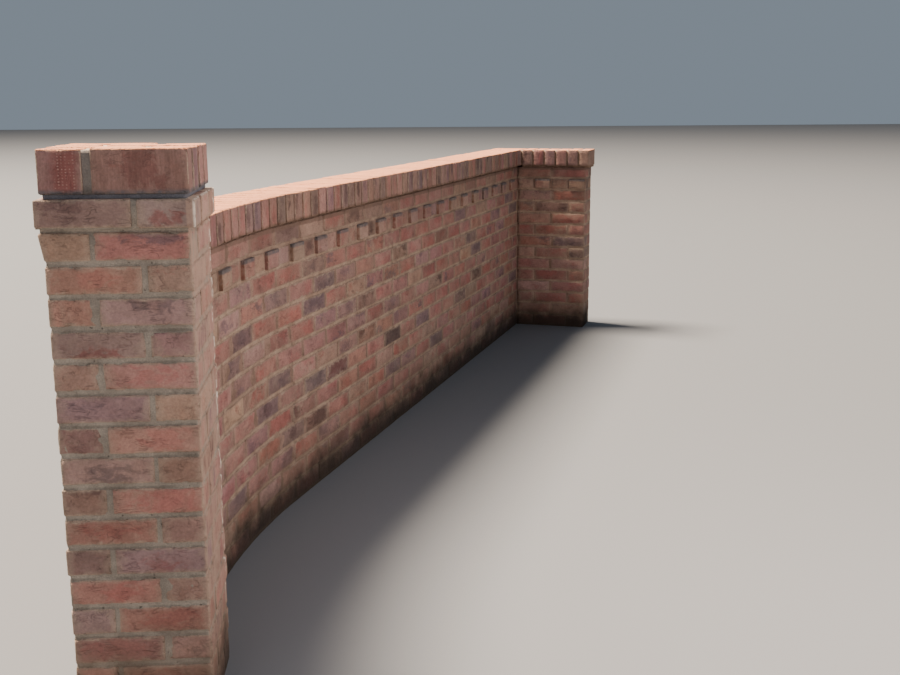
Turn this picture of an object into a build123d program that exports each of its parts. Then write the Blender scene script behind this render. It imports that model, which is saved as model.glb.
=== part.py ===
from build123d import *
import os
from math import cos, degrees, radians, sin

# Brick garden wall: a square pier, a wing wall that leaves it on a gentle curve, runs
# straight and turns a square corner. Millimetres, +Z up, ground at Z = 0.
# Origin: centre of the pier's foot. +Y runs from the pier's front towards the wing wall,
# +X points to the driveway side, which is the hollow side of the curve.

# brick and joint
BRICK_LENGTH = 215.0
BRICK_WIDTH = 102.5
BRICK_HEIGHT = 65.0
JOINT = 10.0
COURSE = BRICK_HEIGHT + JOINT
MODULE = BRICK_LENGTH + JOINT

# pier
PIER_SIDE = BRICK_LENGTH + BRICK_WIDTH + JOINT
PIER_COURSES = 16
OVERSAIL_OUT = 15.0
BED_RECESS = 6.0
CAP_BED_RECESS = 9.0
CAP_ROWS = 4
CAP_PERPEND = 17.5
CAP_JOINT_DROP = 3.0
CAP_JOINT_RECESS = 4.0

# wing wall in plan
WALL_THICKNESS = BRICK_LENGTH
FACE_SETBACK = 112.5
CURVE_RADIUS = 3500.0
START_PIECE = 148.0
CURVE_NEAR_MODULES = 2
CURVE_FAR_MODULES = 3
STRAIGHT_NEAR_MODULES = 5
STRAIGHT_FAR_MODULES = 5
CORNER_MODULES = 6
RETURN_LENGTH = 450.0

# wing wall in height
BODY_COURSES = 12
DENTIL_OUT = 20.0
COPING_OUT = 25.0
COPING_PITCH = BRICK_HEIGHT + JOINT
COPING_JOINT_DROP = 3.0
COPING_JOINT_RECESS = 4.0

# derived levels
PIER_SHAFT_TOP = PIER_COURSES * COURSE
OVERSAIL_BOTTOM = PIER_SHAFT_TOP + JOINT
OVERSAIL_TOP = OVERSAIL_BOTTOM + BRICK_HEIGHT
CAP_BOTTOM = OVERSAIL_TOP + JOINT
CAP_TOP = CAP_BOTTOM + BRICK_WIDTH
BODY_TOP = BODY_COURSES * COURSE
DENTIL_BOTTOM = BODY_TOP + JOINT
DENTIL_TOP = BODY_TOP + COURSE
NECK_TOP = DENTIL_TOP + COURSE
COPING_BOTTOM = NECK_TOP + JOINT
COPING_TOP = COPING_BOTTOM + BRICK_WIDTH

# derived stations
FACE_X = PIER_SIDE / 2 - FACE_SETBACK
FACE_Y = PIER_SIDE / 2
CURVE_MID = START_PIECE + CURVE_NEAR_MODULES * MODULE
CURVE_END = CURVE_MID + CURVE_FAR_MODULES * MODULE
STRAIGHT_MID = CURVE_END + STRAIGHT_NEAR_MODULES * MODULE
STRAIGHT_END = STRAIGHT_MID + STRAIGHT_FAR_MODULES * MODULE
CORNER_FACE = STRAIGHT_END + CORNER_MODULES * MODULE
CORNER_BACK = CORNER_FACE + WALL_THICKNESS
COPING_BACK = COPING_OUT - BRICK_LENGTH
TURN = CURVE_END / CURVE_RADIUS

NODES = {}


def at(station, out):
    """Plan point at a distance along the wall's driveway face and a distance out from it."""
    if station <= CURVE_END:
        angle = station / CURVE_RADIUS
        reach = CURVE_RADIUS - out
        return FACE_X + CURVE_RADIUS - reach * cos(angle), FACE_Y + reach * sin(angle)
    reach = CURVE_RADIUS - out
    start_x = FACE_X + CURVE_RADIUS - reach * cos(TURN)
    start_y = FACE_Y + reach * sin(TURN)
    run = station - CURVE_END
    return start_x + run * sin(TURN), start_y + run * cos(TURN)


def heading(station):
    """Turn of the wall at a station, in degrees clockwise from +Y."""
    return degrees(min(station, CURVE_END) / CURVE_RADIUS)


def strip(start, end, back, front, bottom, top):
    """Solid strip of the wall between two stations, with curved faces on the curve."""
    a = at(start, back)
    b = at(end, back)
    c = at(end, front)
    d = at(start, front)
    middle = (start + end) / 2
    if end <= CURVE_END:
        back_edge = ThreePointArc(a, at(middle, back), b)
        front_edge = ThreePointArc(c, at(middle, front), d)
    else:
        back_edge = Line(a, b)
        front_edge = Line(c, d)
    outline = Wire([back_edge, Line(b, c), front_edge, Line(d, a)])
    return Pos(0, 0, bottom) * extrude(Face(outline), top - bottom, dir=(0, 0, 1))


def laid(station, out, size_out, size_along, bottom, height):
    """Straight-sided brick centred on a station and turned with the wall."""
    x, y = at(station, out)
    brick = Box(size_out, size_along, height, align=(Align.CENTER, Align.CENTER, Align.MIN))
    return Pos(x, y, bottom) * Rot(0, 0, -heading(station)) * brick


def keep(name, solids):
    """Keep one node: its solids under one plain name."""
    if not isinstance(solids, list):
        solids = [solids]
    flat = []
    for item in solids:
        flat.extend(item.solids())
    NODES[name] = flat


def less(whole, cutters):
    """The whole with each cutter taken away."""
    for cutter in cutters:
        whole = whole - cutter
    return whole


# pier
def build_pier():
    """Shaft, oversailing course, bed and cap of bricks on edge."""
    base = (Align.CENTER, Align.CENTER, Align.MIN)
    keep("pier_shaft", Box(PIER_SIDE, PIER_SIDE, PIER_SHAFT_TOP, align=base))
    bed_side = PIER_SIDE - 2 * BED_RECESS
    keep("pier_oversail_bed", Pos(0, 0, PIER_SHAFT_TOP) * Box(bed_side, bed_side, JOINT, align=base))
    oversail_side = PIER_SIDE + 2 * OVERSAIL_OUT
    oversail = Box(oversail_side, oversail_side, BRICK_HEIGHT, align=base)
    keep("pier_oversail_course", Pos(0, 0, OVERSAIL_BOTTOM) * oversail)
    cap_bed_side = PIER_SIDE - 2 * CAP_BED_RECESS
    keep("pier_cap_bed", Pos(0, 0, OVERSAIL_TOP) * Box(cap_bed_side, cap_bed_side, JOINT, align=base))

    half = PIER_SIDE - BRICK_LENGTH - CAP_PERPEND
    pitch = (PIER_SIDE - BRICK_HEIGHT) / (CAP_ROWS - 1)
    bricks = []
    for row in range(CAP_ROWS):
        y = -PIER_SIDE / 2 + BRICK_HEIGHT / 2 + row * pitch
        side = 1 if row % 2 == 0 else -1
        full_x = side * (PIER_SIDE / 2 - BRICK_LENGTH / 2)
        half_x = -side * (PIER_SIDE / 2 - half / 2)
        full = Box(BRICK_LENGTH, BRICK_HEIGHT, BRICK_WIDTH, align=base)
        bat = Box(half, BRICK_HEIGHT, BRICK_WIDTH, align=base)
        bricks.append(Pos(full_x, y, CAP_BOTTOM) * full)
        bricks.append(Pos(half_x, y, CAP_BOTTOM) * bat)
    keep("pier_cap_bricks", bricks)
    joint_side = PIER_SIDE - 2 * CAP_JOINT_RECESS
    joints = Box(joint_side, joint_side, BRICK_WIDTH - CAP_JOINT_DROP, align=base)
    keep("pier_cap_joints", less(Pos(0, 0, CAP_BOTTOM) * joints, bricks))


# lengths of wing wall
def coping_run(start, end):
    """Bricks on edge set square to the wall's face between two stations."""
    count = round((end - start) / COPING_PITCH)
    pitch = (end - start) / count
    out = COPING_OUT - BRICK_LENGTH / 2
    bricks = []
    for index in range(count):
        middle = start + (index + 0.5) * pitch
        bricks.append(laid(middle, out, BRICK_LENGTH, BRICK_HEIGHT, COPING_BOTTOM, BRICK_WIDTH))
    return bricks


def build_length(name, start, end, first_module):
    """One length of the wing wall, from its foot to its coping."""
    back = -WALL_THICKNESS
    body_end = end
    coping_end = end
    if end == CORNER_FACE:
        body_end = CORNER_BACK
        coping_end = CORNER_FACE - COPING_BACK
    keep(name + "_body", strip(start, body_end, back, 0, 0, BODY_TOP))

    headers = []
    modules = round((end - first_module) / MODULE)
    for index in range(modules):
        middle = first_module + index * MODULE + (JOINT + BRICK_WIDTH) / 2
        out = (DENTIL_OUT - BRICK_WIDTH) / 2
        depth = BRICK_WIDTH + DENTIL_OUT
        headers.append(laid(middle, out, depth, BRICK_WIDTH, DENTIL_BOTTOM, BRICK_HEIGHT))
    keep(name + "_dentil_headers", headers)
    course = strip(start, body_end, back, 0, BODY_TOP, DENTIL_TOP)
    keep(name + "_dentil_course", less(course, headers))
    keep(name + "_neck_course", strip(start, body_end, back, 0, DENTIL_TOP, NECK_TOP))

    bricks = coping_run(start, coping_end)
    keep(name + "_coping_bricks", bricks)
    bed_back = COPING_BACK + BED_RECESS
    bed = strip(start, coping_end, bed_back, -BED_RECESS, NECK_TOP, COPING_BOTTOM)
    wedge_back = COPING_BACK + COPING_JOINT_RECESS
    wedge_front = COPING_OUT - COPING_JOINT_RECESS
    wedge_top = COPING_TOP - COPING_JOINT_DROP
    wedges = strip(start, coping_end, wedge_back, wedge_front, COPING_BOTTOM, wedge_top)
    keep(name + "_coping_mortar", bed + less(wedges, bricks))


# return behind the corner
def turned(along, out, size_along, size_out, bottom, height):
    """Block given from the inner corner: distances on along the wall and out from its face."""
    base_x, base_y = at(CORNER_FACE, 0)
    angle = radians(heading(CORNER_FACE))
    middle_along = along + size_along / 2
    middle_out = out + size_out / 2
    x = base_x + middle_along * sin(angle) + middle_out * cos(angle)
    y = base_y + middle_along * cos(angle) - middle_out * sin(angle)
    block = Box(size_out, size_along, height, align=(Align.CENTER, Align.CENTER, Align.MIN))
    return Pos(x, y, bottom) * Rot(0, 0, -heading(CORNER_FACE)) * block


def build_return():
    """Short return wall that turns square from the corner and stops plainly."""
    depth = WALL_THICKNESS
    keep("return_body", turned(0, 0, depth, RETURN_LENGTH, 0, BODY_TOP))
    headers = []
    reach = RETURN_LENGTH
    while reach > BRICK_WIDTH:
        out = reach - JOINT / 2 - BRICK_WIDTH
        header = turned(-DENTIL_OUT, out, BRICK_WIDTH + DENTIL_OUT, BRICK_WIDTH, DENTIL_BOTTOM, BRICK_HEIGHT)
        headers.append(header)
        reach = reach - MODULE
    keep("return_dentil_headers", headers)
    course = turned(0, 0, depth, RETURN_LENGTH, BODY_TOP, COURSE)
    keep("return_dentil_course", less(course, headers))
    keep("return_neck_course", turned(0, 0, depth, RETURN_LENGTH, DENTIL_TOP, COURSE))

    first = COPING_OUT + JOINT
    last = RETURN_LENGTH + COPING_OUT
    count = round((last - first + JOINT) / COPING_PITCH)
    pitch = (last - first - BRICK_HEIGHT) / (count - 1)
    bricks = []
    for index in range(count):
        out = first + index * pitch
        bricks.append(turned(-COPING_OUT, out, BRICK_LENGTH, BRICK_HEIGHT, COPING_BOTTOM, BRICK_WIDTH))
    keep("return_coping_bricks", bricks)
    bed_out = -BED_RECESS
    bed_length = BRICK_LENGTH - COPING_OUT - 2 * BED_RECESS
    bed = turned(BED_RECESS, bed_out, bed_length, RETURN_LENGTH, NECK_TOP, JOINT)
    wedge_length = BRICK_LENGTH - 2 * COPING_JOINT_RECESS
    wedge_start = COPING_JOINT_RECESS - COPING_OUT
    wedge_reach = last - COPING_OUT - COPING_JOINT_RECESS
    wedge_height = BRICK_WIDTH - COPING_JOINT_DROP
    wedges = turned(wedge_start, COPING_OUT, wedge_length, wedge_reach, COPING_BOTTOM, wedge_height)
    keep("return_coping_mortar", bed + less(wedges, bricks))


def main():
    """Build every node and write one STEP file for each."""
    build_pier()
    build_length("curve_near", 0.0, CURVE_MID, START_PIECE)
    build_length("curve_far", CURVE_MID, CURVE_END, CURVE_MID)
    build_length("straight_near", CURVE_END, STRAIGHT_MID, CURVE_END)
    build_length("straight_far", STRAIGHT_MID, STRAIGHT_END, STRAIGHT_MID)
    build_length("corner", STRAIGHT_END, CORNER_FACE, STRAIGHT_END)
    build_return()
    os.makedirs("parts", exist_ok=True)
    for name, solids in NODES.items():
        if len(solids) == 1:
            shape = solids[0]
        else:
            shape = Compound(children=solids)
        shape.label = name
        export_step(shape, os.path.join("parts", name + ".step"))


main()
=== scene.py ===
"""Brick garden wall: a square pier with a cap on edge, and a wing wall with dentils and a coping.

Metres, +Z up. The origin is the centre of the pier's foot, +Y runs from the pier's front
towards the wing wall and +X points to the inner side of its curve.
"""

import logging
import math
from dataclasses import dataclass, field
from enum import Enum
from typing import Protocol

import bpy
import numpy as np
from mathutils import Matrix, Vector

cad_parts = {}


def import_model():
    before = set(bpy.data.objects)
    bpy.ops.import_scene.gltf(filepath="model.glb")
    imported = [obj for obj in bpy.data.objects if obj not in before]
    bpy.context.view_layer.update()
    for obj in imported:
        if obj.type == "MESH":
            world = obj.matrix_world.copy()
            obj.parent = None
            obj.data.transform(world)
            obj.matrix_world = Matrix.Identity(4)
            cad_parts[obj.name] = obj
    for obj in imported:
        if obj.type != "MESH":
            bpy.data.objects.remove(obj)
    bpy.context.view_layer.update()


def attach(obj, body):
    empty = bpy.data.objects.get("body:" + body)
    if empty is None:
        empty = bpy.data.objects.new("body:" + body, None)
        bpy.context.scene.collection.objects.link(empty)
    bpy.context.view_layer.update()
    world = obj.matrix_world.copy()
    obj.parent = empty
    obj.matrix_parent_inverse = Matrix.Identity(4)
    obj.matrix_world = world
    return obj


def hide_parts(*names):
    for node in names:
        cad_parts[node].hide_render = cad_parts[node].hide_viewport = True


Array = np.ndarray
Span = tuple[float, float]
Colour = tuple[float, float, float]
Paint = tuple[float, float, float, float]
Socket = bpy.types.NodeSocket

LOG = logging.getLogger("brick_garden_wall")
SEED = 20

BRICK_LENGTH = 0.215
BRICK_WIDTH = 0.1025
BRICK_HEIGHT = 0.065
JOINT = 0.010
COURSE = BRICK_HEIGHT + JOINT
MODULE = BRICK_LENGTH + JOINT


# Numbers


def lattice_noise(points: Array, cell: float, seed: int) -> Array:
    """Smooth noise from -1 to 1: random values at cell corners, blended by 3t^2 - 2t^3.

    Args:
        points: Places in metres, shape (n, 3).
        cell: Side of a cell in metres.
        seed: Number that picks the pattern.

    Returns:
        One value for each place.
    """
    scaled = points / cell + 500.0
    base = np.floor(scaled).astype(np.int64)
    part = scaled - base
    part = part * part * (3.0 - 2.0 * part)
    total = np.zeros(len(points))
    for corner in range(8):
        step = np.array([corner & 1, corner >> 1 & 1, corner >> 2 & 1])
        weight = np.prod(np.where(step == 1, part, 1.0 - part), axis=1)
        key = base + step
        mixed = key[:, 0] * 73856093 ^ key[:, 1] * 19349663 ^ key[:, 2] * 83492791 ^ seed * 2654435
        mixed = (mixed ^ mixed >> 13) * 1274126177 & 0xFFFFFFFF
        total += weight * ((mixed ^ mixed >> 16) & 0xFFFF) / 32767.5
    return total - 1.0


def layered_noise(points: Array, cell: float, layers: int, seed: int) -> Array:
    """Sum of lattice noise in which each layer has half the cell and half the height of the last.

    Args:
        points: Places in metres, shape (n, 3).
        cell: Side of the first layer's cells in metres.
        layers: How many layers are added.
        seed: Number that picks the pattern.

    Returns:
        One value for each place, about -1 to 1.
    """
    total = np.zeros(len(points))
    for layer in range(layers):
        total += lattice_noise(points, cell / 2**layer, seed + layer) / 2**layer
    return total / (2.0 - 0.5 ** (layers - 1))


# Plan of the wall


class Run(Protocol):
    """A stretch of wall in plan: station, distance out from its face and height give a place."""

    def place(self, along: Array, out: Array, up: Array) -> Array:
        """Places in metres for stations, distances out and heights."""

    def turn(self, along: Array) -> Array:
        """Direction of the run at stations, in radians clockwise from +Y."""

    def paced(self, along: float, out: float) -> float:
        """Distance walked to a station on the line that lies out from the face."""

    def station(self, distance: float, out: float) -> float:
        """Station that is reached after a distance walked on that line."""


@dataclass(frozen=True)
class WingRun:
    """The wing wall's inner face: an arc, and the straight line that touches its end."""

    face_x: float = 0.05125
    face_y: float = 0.16375
    radius: float = 3.5
    curve_end: float = 1.273

    def turn(self, along: Array) -> Array:
        """Arc length over radius on the curve, and its last value after it."""
        return np.minimum(along, self.curve_end) / self.radius

    def paced(self, along: float, out: float) -> float:
        """Station less what the line out cuts short: the arc's length times out over radius."""
        return along - min(along, self.curve_end) * out / self.radius

    def station(self, distance: float, out: float) -> float:
        """The other way round: on the curve the distance is divided by 1 - out / radius."""
        share = 1.0 - out / self.radius
        if distance < self.curve_end * share:
            return distance / share
        return distance + self.curve_end * (1.0 - share)

    def place(self, along: Array, out: Array, up: Array) -> Array:
        """Centre of the arc plus (radius - out) turned by the heading, plus the straight run.

        Args:
            along: Stations along the inner face.
            out: Distances out from that face, towards the middle of the curve.
            up: Heights.

        Returns:
            Places, shape (n, 3).
        """
        along, out, up = np.broadcast_arrays(along, out, up)
        heading = self.turn(along)
        reach = self.radius - out
        run = np.maximum(along - self.curve_end, 0.0)
        x = self.face_x + self.radius - reach * np.cos(heading) + run * np.sin(heading)
        y = self.face_y + reach * np.sin(heading) + run * np.cos(heading)
        return np.stack([x, y, up], axis=-1)


@dataclass(frozen=True)
class StraightRun:
    """A straight stretch that starts at a place with a heading."""

    start_x: float
    start_y: float
    heading: float

    def turn(self, along: Array) -> Array:
        """The same heading all along."""
        return np.zeros_like(np.asarray(along, float)) + self.heading

    def paced(self, along: float, out: float) -> float:
        """The station itself."""
        return along

    def station(self, distance: float, out: float) -> float:
        """The distance itself."""
        return distance

    def place(self, along: Array, out: Array, up: Array) -> Array:
        """Start plus the distance along times the heading, plus the distance out square to it.

        Args:
            along: Distances along the run.
            out: Distances out from its face.
            up: Heights.

        Returns:
            Places, shape (n, 3).
        """
        along, out, up = np.broadcast_arrays(along, out, up)
        x = self.start_x + along * math.sin(self.heading) + out * math.cos(self.heading)
        y = self.start_y + along * math.cos(self.heading) - out * math.sin(self.heading)
        return np.stack([x, y, up], axis=-1)


# Clays


@dataclass(frozen=True)
class ClayTone:
    """Colours of one kind of brick.

    Attributes:
        body: Colour of the fired face.
        burn: Colour of its patches.
        patch: How much of the face the patches take, 0 to 1.
        share: How often the kind comes in plain walling.
    """

    body: Colour
    burn: Colour
    patch: float
    share: float


class Clay(Enum):
    """The kinds of brick in the wall's blend."""

    RED = ClayTone((0.330, 0.162, 0.130), (0.345, 0.130, 0.108), 0.62, 0.27)
    ROSE = ClayTone((0.348, 0.182, 0.152), (0.352, 0.148, 0.128), 0.50, 0.34)
    BUFF = ClayTone((0.368, 0.232, 0.178), (0.335, 0.168, 0.130), 0.30, 0.15)
    PLUM = ClayTone((0.285, 0.164, 0.148), (0.190, 0.112, 0.116), 0.52, 0.10)
    FLASHED = ClayTone((0.335, 0.154, 0.128), (0.180, 0.105, 0.108), 0.42, 0.12)
    DARK = ClayTone((0.235, 0.140, 0.112), (0.108, 0.062, 0.054), 0.62, 0.02)
    MAROON = ClayTone((0.212, 0.114, 0.108), (0.164, 0.070, 0.068), 0.58, 0.00)
    SOOTY = ClayTone((0.105, 0.072, 0.064), (0.060, 0.046, 0.046), 0.50, 0.00)
    SLATE = ClayTone((0.205, 0.132, 0.126), (0.138, 0.092, 0.098), 0.55, 0.05)
    UMBER = ClayTone((0.208, 0.134, 0.118), (0.122, 0.074, 0.070), 0.58, 0.00)
    DABBED = ClayTone((0.234, 0.160, 0.140), (0.212, 0.092, 0.083), 0.56, 0.00)
    OXIDE = ClayTone((0.262, 0.130, 0.108), (0.255, 0.098, 0.084), 0.55, 0.00)
    TAWNY = ClayTone((0.292, 0.178, 0.142), (0.262, 0.146, 0.116), 0.30, 0.00)
    SANDY = ClayTone((0.435, 0.268, 0.194), (0.390, 0.215, 0.155), 0.30, 0.00)
    VIOLET = ClayTone((0.280, 0.171, 0.174), (0.148, 0.098, 0.110), 0.48, 0.00)


PLAIN_BLEND = {clay: clay.value.share for clay in Clay if clay.value.share}
SOFT_BLEND = {Clay.RED: 0.25, Clay.ROSE: 0.50, Clay.BUFF: 0.17, Clay.FLASHED: 0.08}
PALE_BLEND = {Clay.BUFF: 0.50, Clay.ROSE: 0.42, Clay.PLUM: 0.08}
EDGE_BLEND = {
    Clay.TAWNY: 0.20,
    Clay.ROSE: 0.18,
    Clay.OXIDE: 0.17,
    Clay.UMBER: 0.22,
    Clay.PLUM: 0.13,
    Clay.SLATE: 0.06,
    Clay.DARK: 0.04,
}
DAMP_BLEND = {Clay.RED: 0.35, Clay.FLASHED: 0.30, Clay.PLUM: 0.20, Clay.DARK: 0.15}


# Bricks


@dataclass(frozen=True)
class BrickForm:
    """The grid of one brick.

    Attributes:
        spans: Steps out, along and up between the rounded edges.
        round_edge: Radius of the arrises in metres.
        relief: Height of the wavy face in metres.
        chip: Depth of the worn places on the arrises in metres.
        open_back: True where the back is buried, and is one flat face.
    """

    spans: tuple[int, int, int]
    round_edge: float = 0.004
    relief: float = 0.0010
    chip: float = 0.0025
    open_back: bool = False

    def grid(self) -> tuple[Array, Array, list[Array]]:
        """Surface of a box lattice whose outer layer is the rounded edge.

        Returns:
            Inner position of each point as a part of the half size less the radius, its step
            to the outer layer as -1, 0 or 1 on each axis, and the faces as arrays of indices.
        """
        inner = [np.concatenate([[-1.0], np.linspace(-1.0, 1.0, n + 1), [1.0]]) for n in self.spans]
        layer = [np.concatenate([[-1.0], np.zeros(n + 1), [1.0]]) for n in self.spans]
        if self.open_back:
            inner[0] = inner[0][1:]
            layer[0] = layer[0][1:]
            layer[0][0] = -1.0
        counts = [len(values) for values in inner]
        index = np.stack(np.meshgrid(*[np.arange(n) for n in counts], indexing="ij"), axis=-1)
        last = np.array(counts) - 1
        shell = np.any((index == 0) | (index == last), axis=-1)
        if self.open_back:
            inside = np.all((index[..., 1:] > 0) & (index[..., 1:] < last[1:]), axis=-1)
            shell &= ~((index[..., 0] == 0) & inside)
        number = np.full(counts, -1)
        number[shell] = np.arange(int(shell.sum()))
        points = index[shell]
        place = np.stack([inner[axis][points[:, axis]] for axis in range(3)], axis=1)
        outer = np.stack([layer[axis][points[:, axis]] for axis in range(3)], axis=1)
        faces = []
        for axis in range(3):
            for side in (0, counts[axis] - 1):
                if self.open_back and axis == 0 and side == 0:
                    continue
                sheet = np.moveaxis(number, axis, 0)[side]
                if axis == 1:
                    sheet = sheet.T
                corners = [sheet[:-1, :-1], sheet[1:, :-1], sheet[1:, 1:], sheet[:-1, 1:]]
                quads = np.stack(corners, axis=-1).reshape(-1, 4)
                faces.append(quads if side else quads[:, ::-1])
        if self.open_back:
            rim = number[0]
            loop = np.concatenate([rim[:-1, 0], rim[-1, :-1], rim[:0:-1, -1], rim[0, :0:-1]])
            faces.append(loop[::-1][None, :])
        return place, outer, faces


@dataclass(frozen=True)
class Brick:
    """One brick in a lot.

    Attributes:
        along: Its two ends, as distances walked on the datum line.
        out: Its back and front from the run's face.
        up: Its bed and top.
        clay: Its kind.
        mark: Middle of its patch as parts of the half length and half height, or None for any.
        datum: Distance of the datum line out from the run's face.
        about: True where it is laid back to front.
    """

    along: Span
    out: Span
    up: Span
    clay: Clay
    mark: Span | None = None
    datum: float = 0.0
    about: bool = False


LEAST_SHRINK = (0.0, 0.0004, 0.0004)
MOST_SHRINK = (0.0008, 0.0028, 0.0020)
TILT = 0.0022
SLIP = (0.0007, 0.0008, 0.0006)
LIGHT_SPREAD = 0.085
HUE_SPREAD = (0.02, 0.035, 0.05)
PATCH_SPREAD = 0.10


@dataclass
class BrickLot:
    """Bricks that make one piece, one row each."""

    centres: list[Array] = field(default_factory=list)
    turns: list[float] = field(default_factory=list)
    sizes: list[Colour] = field(default_factory=list)
    clays: list[Clay] = field(default_factory=list)
    marks: list[Span | None] = field(default_factory=list)

    def lay(self, run: Run, brick: Brick) -> None:
        """Lay one brick square to a run.

        Args:
            run: The stretch of wall.
            brick: The brick.
        """
        middle = np.array(run.station(sum(brick.along) / 2, brick.datum))
        out, up = np.array(sum(brick.out) / 2), np.array(sum(brick.up) / 2)
        self.centres.append(run.place(middle, out, up))
        self.turns.append(float(run.turn(middle)) + (math.pi if brick.about else 0.0))
        spans = (brick.out, brick.along, brick.up)
        self.sizes.append(tuple(high - low for low, high in spans))
        self.clays.append(brick.clay)
        self.marks.append(brick.mark)

    def mesh(self, name: str, form: BrickForm, random: np.random.Generator) -> bpy.types.Mesh:
        """All the bricks as one closed mesh.

        A point is the inner place times (half size - radius), plus the radius along the
        unit step to the outer layer, plus relief times layered noise along that step, less
        a chip where a second noise is high on an arris. Then each brick is turned and set
        down with a small error of its own.

        Args:
            name: Name of the mesh.
            form: Grid that every brick of the lot takes.
            random: Source of the small errors.

        Returns:
            The mesh, with the brick's own coordinates and colours as attributes.
        """
        place, outer, faces = form.grid()
        count, points = len(self.sizes), len(place)
        shrink = random.uniform(LEAST_SHRINK, MOST_SHRINK, (count, 3))
        half = (np.array(self.sizes) - shrink) / 2
        radius = form.round_edge * random.uniform(0.8, 1.25, (count, 1, 1))
        step = outer / np.maximum(np.linalg.norm(outer, axis=1, keepdims=True), 1e-9)
        box = place[None] * (half[:, None] - radius) + outer[None] * radius
        local = place[None] * (half[:, None] - radius) + step[None] * radius
        shift = random.uniform(-20.0, 20.0, (count, 1, 3))
        grain = (box + shift).reshape(-1, 3)
        wave = layered_noise(grain * np.array([1.0, 0.55, 1.3]), 0.030, 3, SEED)
        wear = layered_noise(grain, 0.022, 2, SEED + 7)
        arris = np.tile((np.abs(outer).sum(axis=1) > 1.5).astype(float), count)
        depth = form.relief * wave - form.chip * arris * np.clip(wear * 2.2 - 0.35, 0.0, 1.0)
        local = local.reshape(-1, 3) + np.tile(step, (count, 1)) * depth[:, None]
        if form.open_back:
            buried = np.tile(outer[:, 0] < 0, count)
            local[buried, 0] = box.reshape(-1, 3)[buried, 0]
        local = local.reshape(count, points, 3)
        tilt = random.normal(0.0, TILT, (count, 3))
        lean = np.cross(tilt[:, None], local)
        slip = random.normal(0.0, 1.0, (count, 3)) * SLIP
        moved = local + lean + slip[:, None]
        turn = np.array(self.turns)[:, None]
        x = moved[..., 0] * np.cos(turn) + moved[..., 1] * np.sin(turn)
        y = moved[..., 1] * np.cos(turn) - moved[..., 0] * np.sin(turn)
        world = np.stack([x, y, moved[..., 2]], axis=-1) + np.array(self.centres)[:, None]
        offsets = (np.arange(count) * points)[:, None, None]
        polygons: list[list[int]] = []
        for part in faces:
            polygons.extend((part[None] + offsets).reshape(-1, part.shape[1]).tolist())
        made = bpy.data.meshes.new(name)
        made.from_pydata(world.reshape(-1, 3), [], polygons)
        body, burn = self.colours(random)
        mark = self.patches(random)
        write_attribute(made, "grain", grain)
        write_attribute(made, "local", box.reshape(-1, 3))
        for label, rows in (("half", half), ("mark", mark), ("clay", body), ("burn", burn)):
            write_attribute(made, label, np.repeat(rows, points, axis=0))
        return made

    def patches(self, random: np.random.Generator) -> Array:
        """Middle and width of each brick's patch.

        Args:
            random: Source of the ones that aren't given.

        Returns:
            Middle as parts of the half length and half height, and half width, one row per brick.
        """
        rows = random.uniform([-0.8, -0.7, 0.45], [0.8, 1.1, 1.0], (len(self.marks), 3))
        for row, mark in zip(rows, self.marks):
            if mark is not None:
                row[:2] = mark
        return rows

    def colours(self, random: np.random.Generator) -> tuple[Array, Array]:
        """Colours of each brick: its kind's, times a small change of lightness and of hue.

        Args:
            random: Source of the changes.

        Returns:
            Body colour with the patch share as alpha, and patch colour with the amount of
            smeared mortar as alpha, one row per brick.
        """
        count = len(self.clays)
        light = np.exp(random.normal(0.0, LIGHT_SPREAD, (count, 1)))
        hue = np.exp(random.normal(0.0, 1.0, (count, 3)) * HUE_SPREAD)
        kinds = [clay.value for clay in self.clays]
        body = np.array([kind.body for kind in kinds]) * light * hue
        burn = np.array([kind.burn for kind in kinds]) * np.sqrt(light) * hue
        patch = np.array([kind.patch for kind in kinds])
        patch = patch + random.normal(0.0, PATCH_SPREAD, count)
        smear = random.beta(1.6, 2.6, count)
        body = np.concatenate([body, np.clip(patch, 0.0, 1.0)[:, None]], axis=1)
        burn = np.concatenate([burn, smear[:, None]], axis=1)
        return body, burn


def write_attribute(mesh: bpy.types.Mesh, name: str, rows: Array) -> None:
    """Keep a vector, or a colour where the rows have four numbers, for each point of a mesh.

    Args:
        mesh: The mesh.
        name: Name of the attribute.
        rows: Its values, one row per point.
    """
    kind, value = ("FLOAT_COLOR", "color") if rows.shape[1] == 4 else ("FLOAT_VECTOR", "vector")
    layer = mesh.attributes.new(name, kind, "POINT")
    layer.data.foreach_set(value, rows.astype(np.float32).ravel())


# Courses and mortar


def brick_rise(course: int) -> Span:
    """Bed and top of the bricks in a course."""
    bottom = course * COURSE + JOINT
    return bottom, bottom + BRICK_HEIGHT


def carried_profile(name: str, rings: Array) -> bpy.types.Mesh:
    """Closed skin through rings of points: quads between neighbours, and a fan over each end.

    Args:
        name: Name of the mesh.
        rings: Points of each ring in order, shape (rings, points, 3). Seen along the path,
            they go round against the clock.

    Returns:
        The mesh.
    """
    count, around = rings.shape[:2]
    number = np.arange(count * around).reshape(count, around)
    beside = np.roll(number, -1, axis=1)
    quads = np.stack([number[:-1], number[1:], beside[1:], beside[:-1]], axis=-1).reshape(-1, 4)
    first, last = count * around, count * around + 1
    start = np.stack([np.full(around, first), number[0], beside[0]], axis=-1)
    end = np.stack([np.full(around, last), beside[-1], number[-1]], axis=-1)
    middles = [rings[0].mean(axis=0)[None], rings[-1].mean(axis=0)[None]]
    points = np.concatenate([rings.reshape(-1, 3), *middles])
    made = bpy.data.meshes.new(name)
    made.from_pydata(points, [], quads.tolist() + start.tolist() + end.tolist())
    return made


def joint_levels(courses: int) -> Array:
    """Heights of the grid lines of pointed courses: across each bed joint, and mid brick."""
    base = np.arange(courses)[:, None] * COURSE
    return (base + np.array([0.0006, 0.0030, 0.0055, 0.0085, 0.0115, 0.0425])).ravel()


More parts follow.
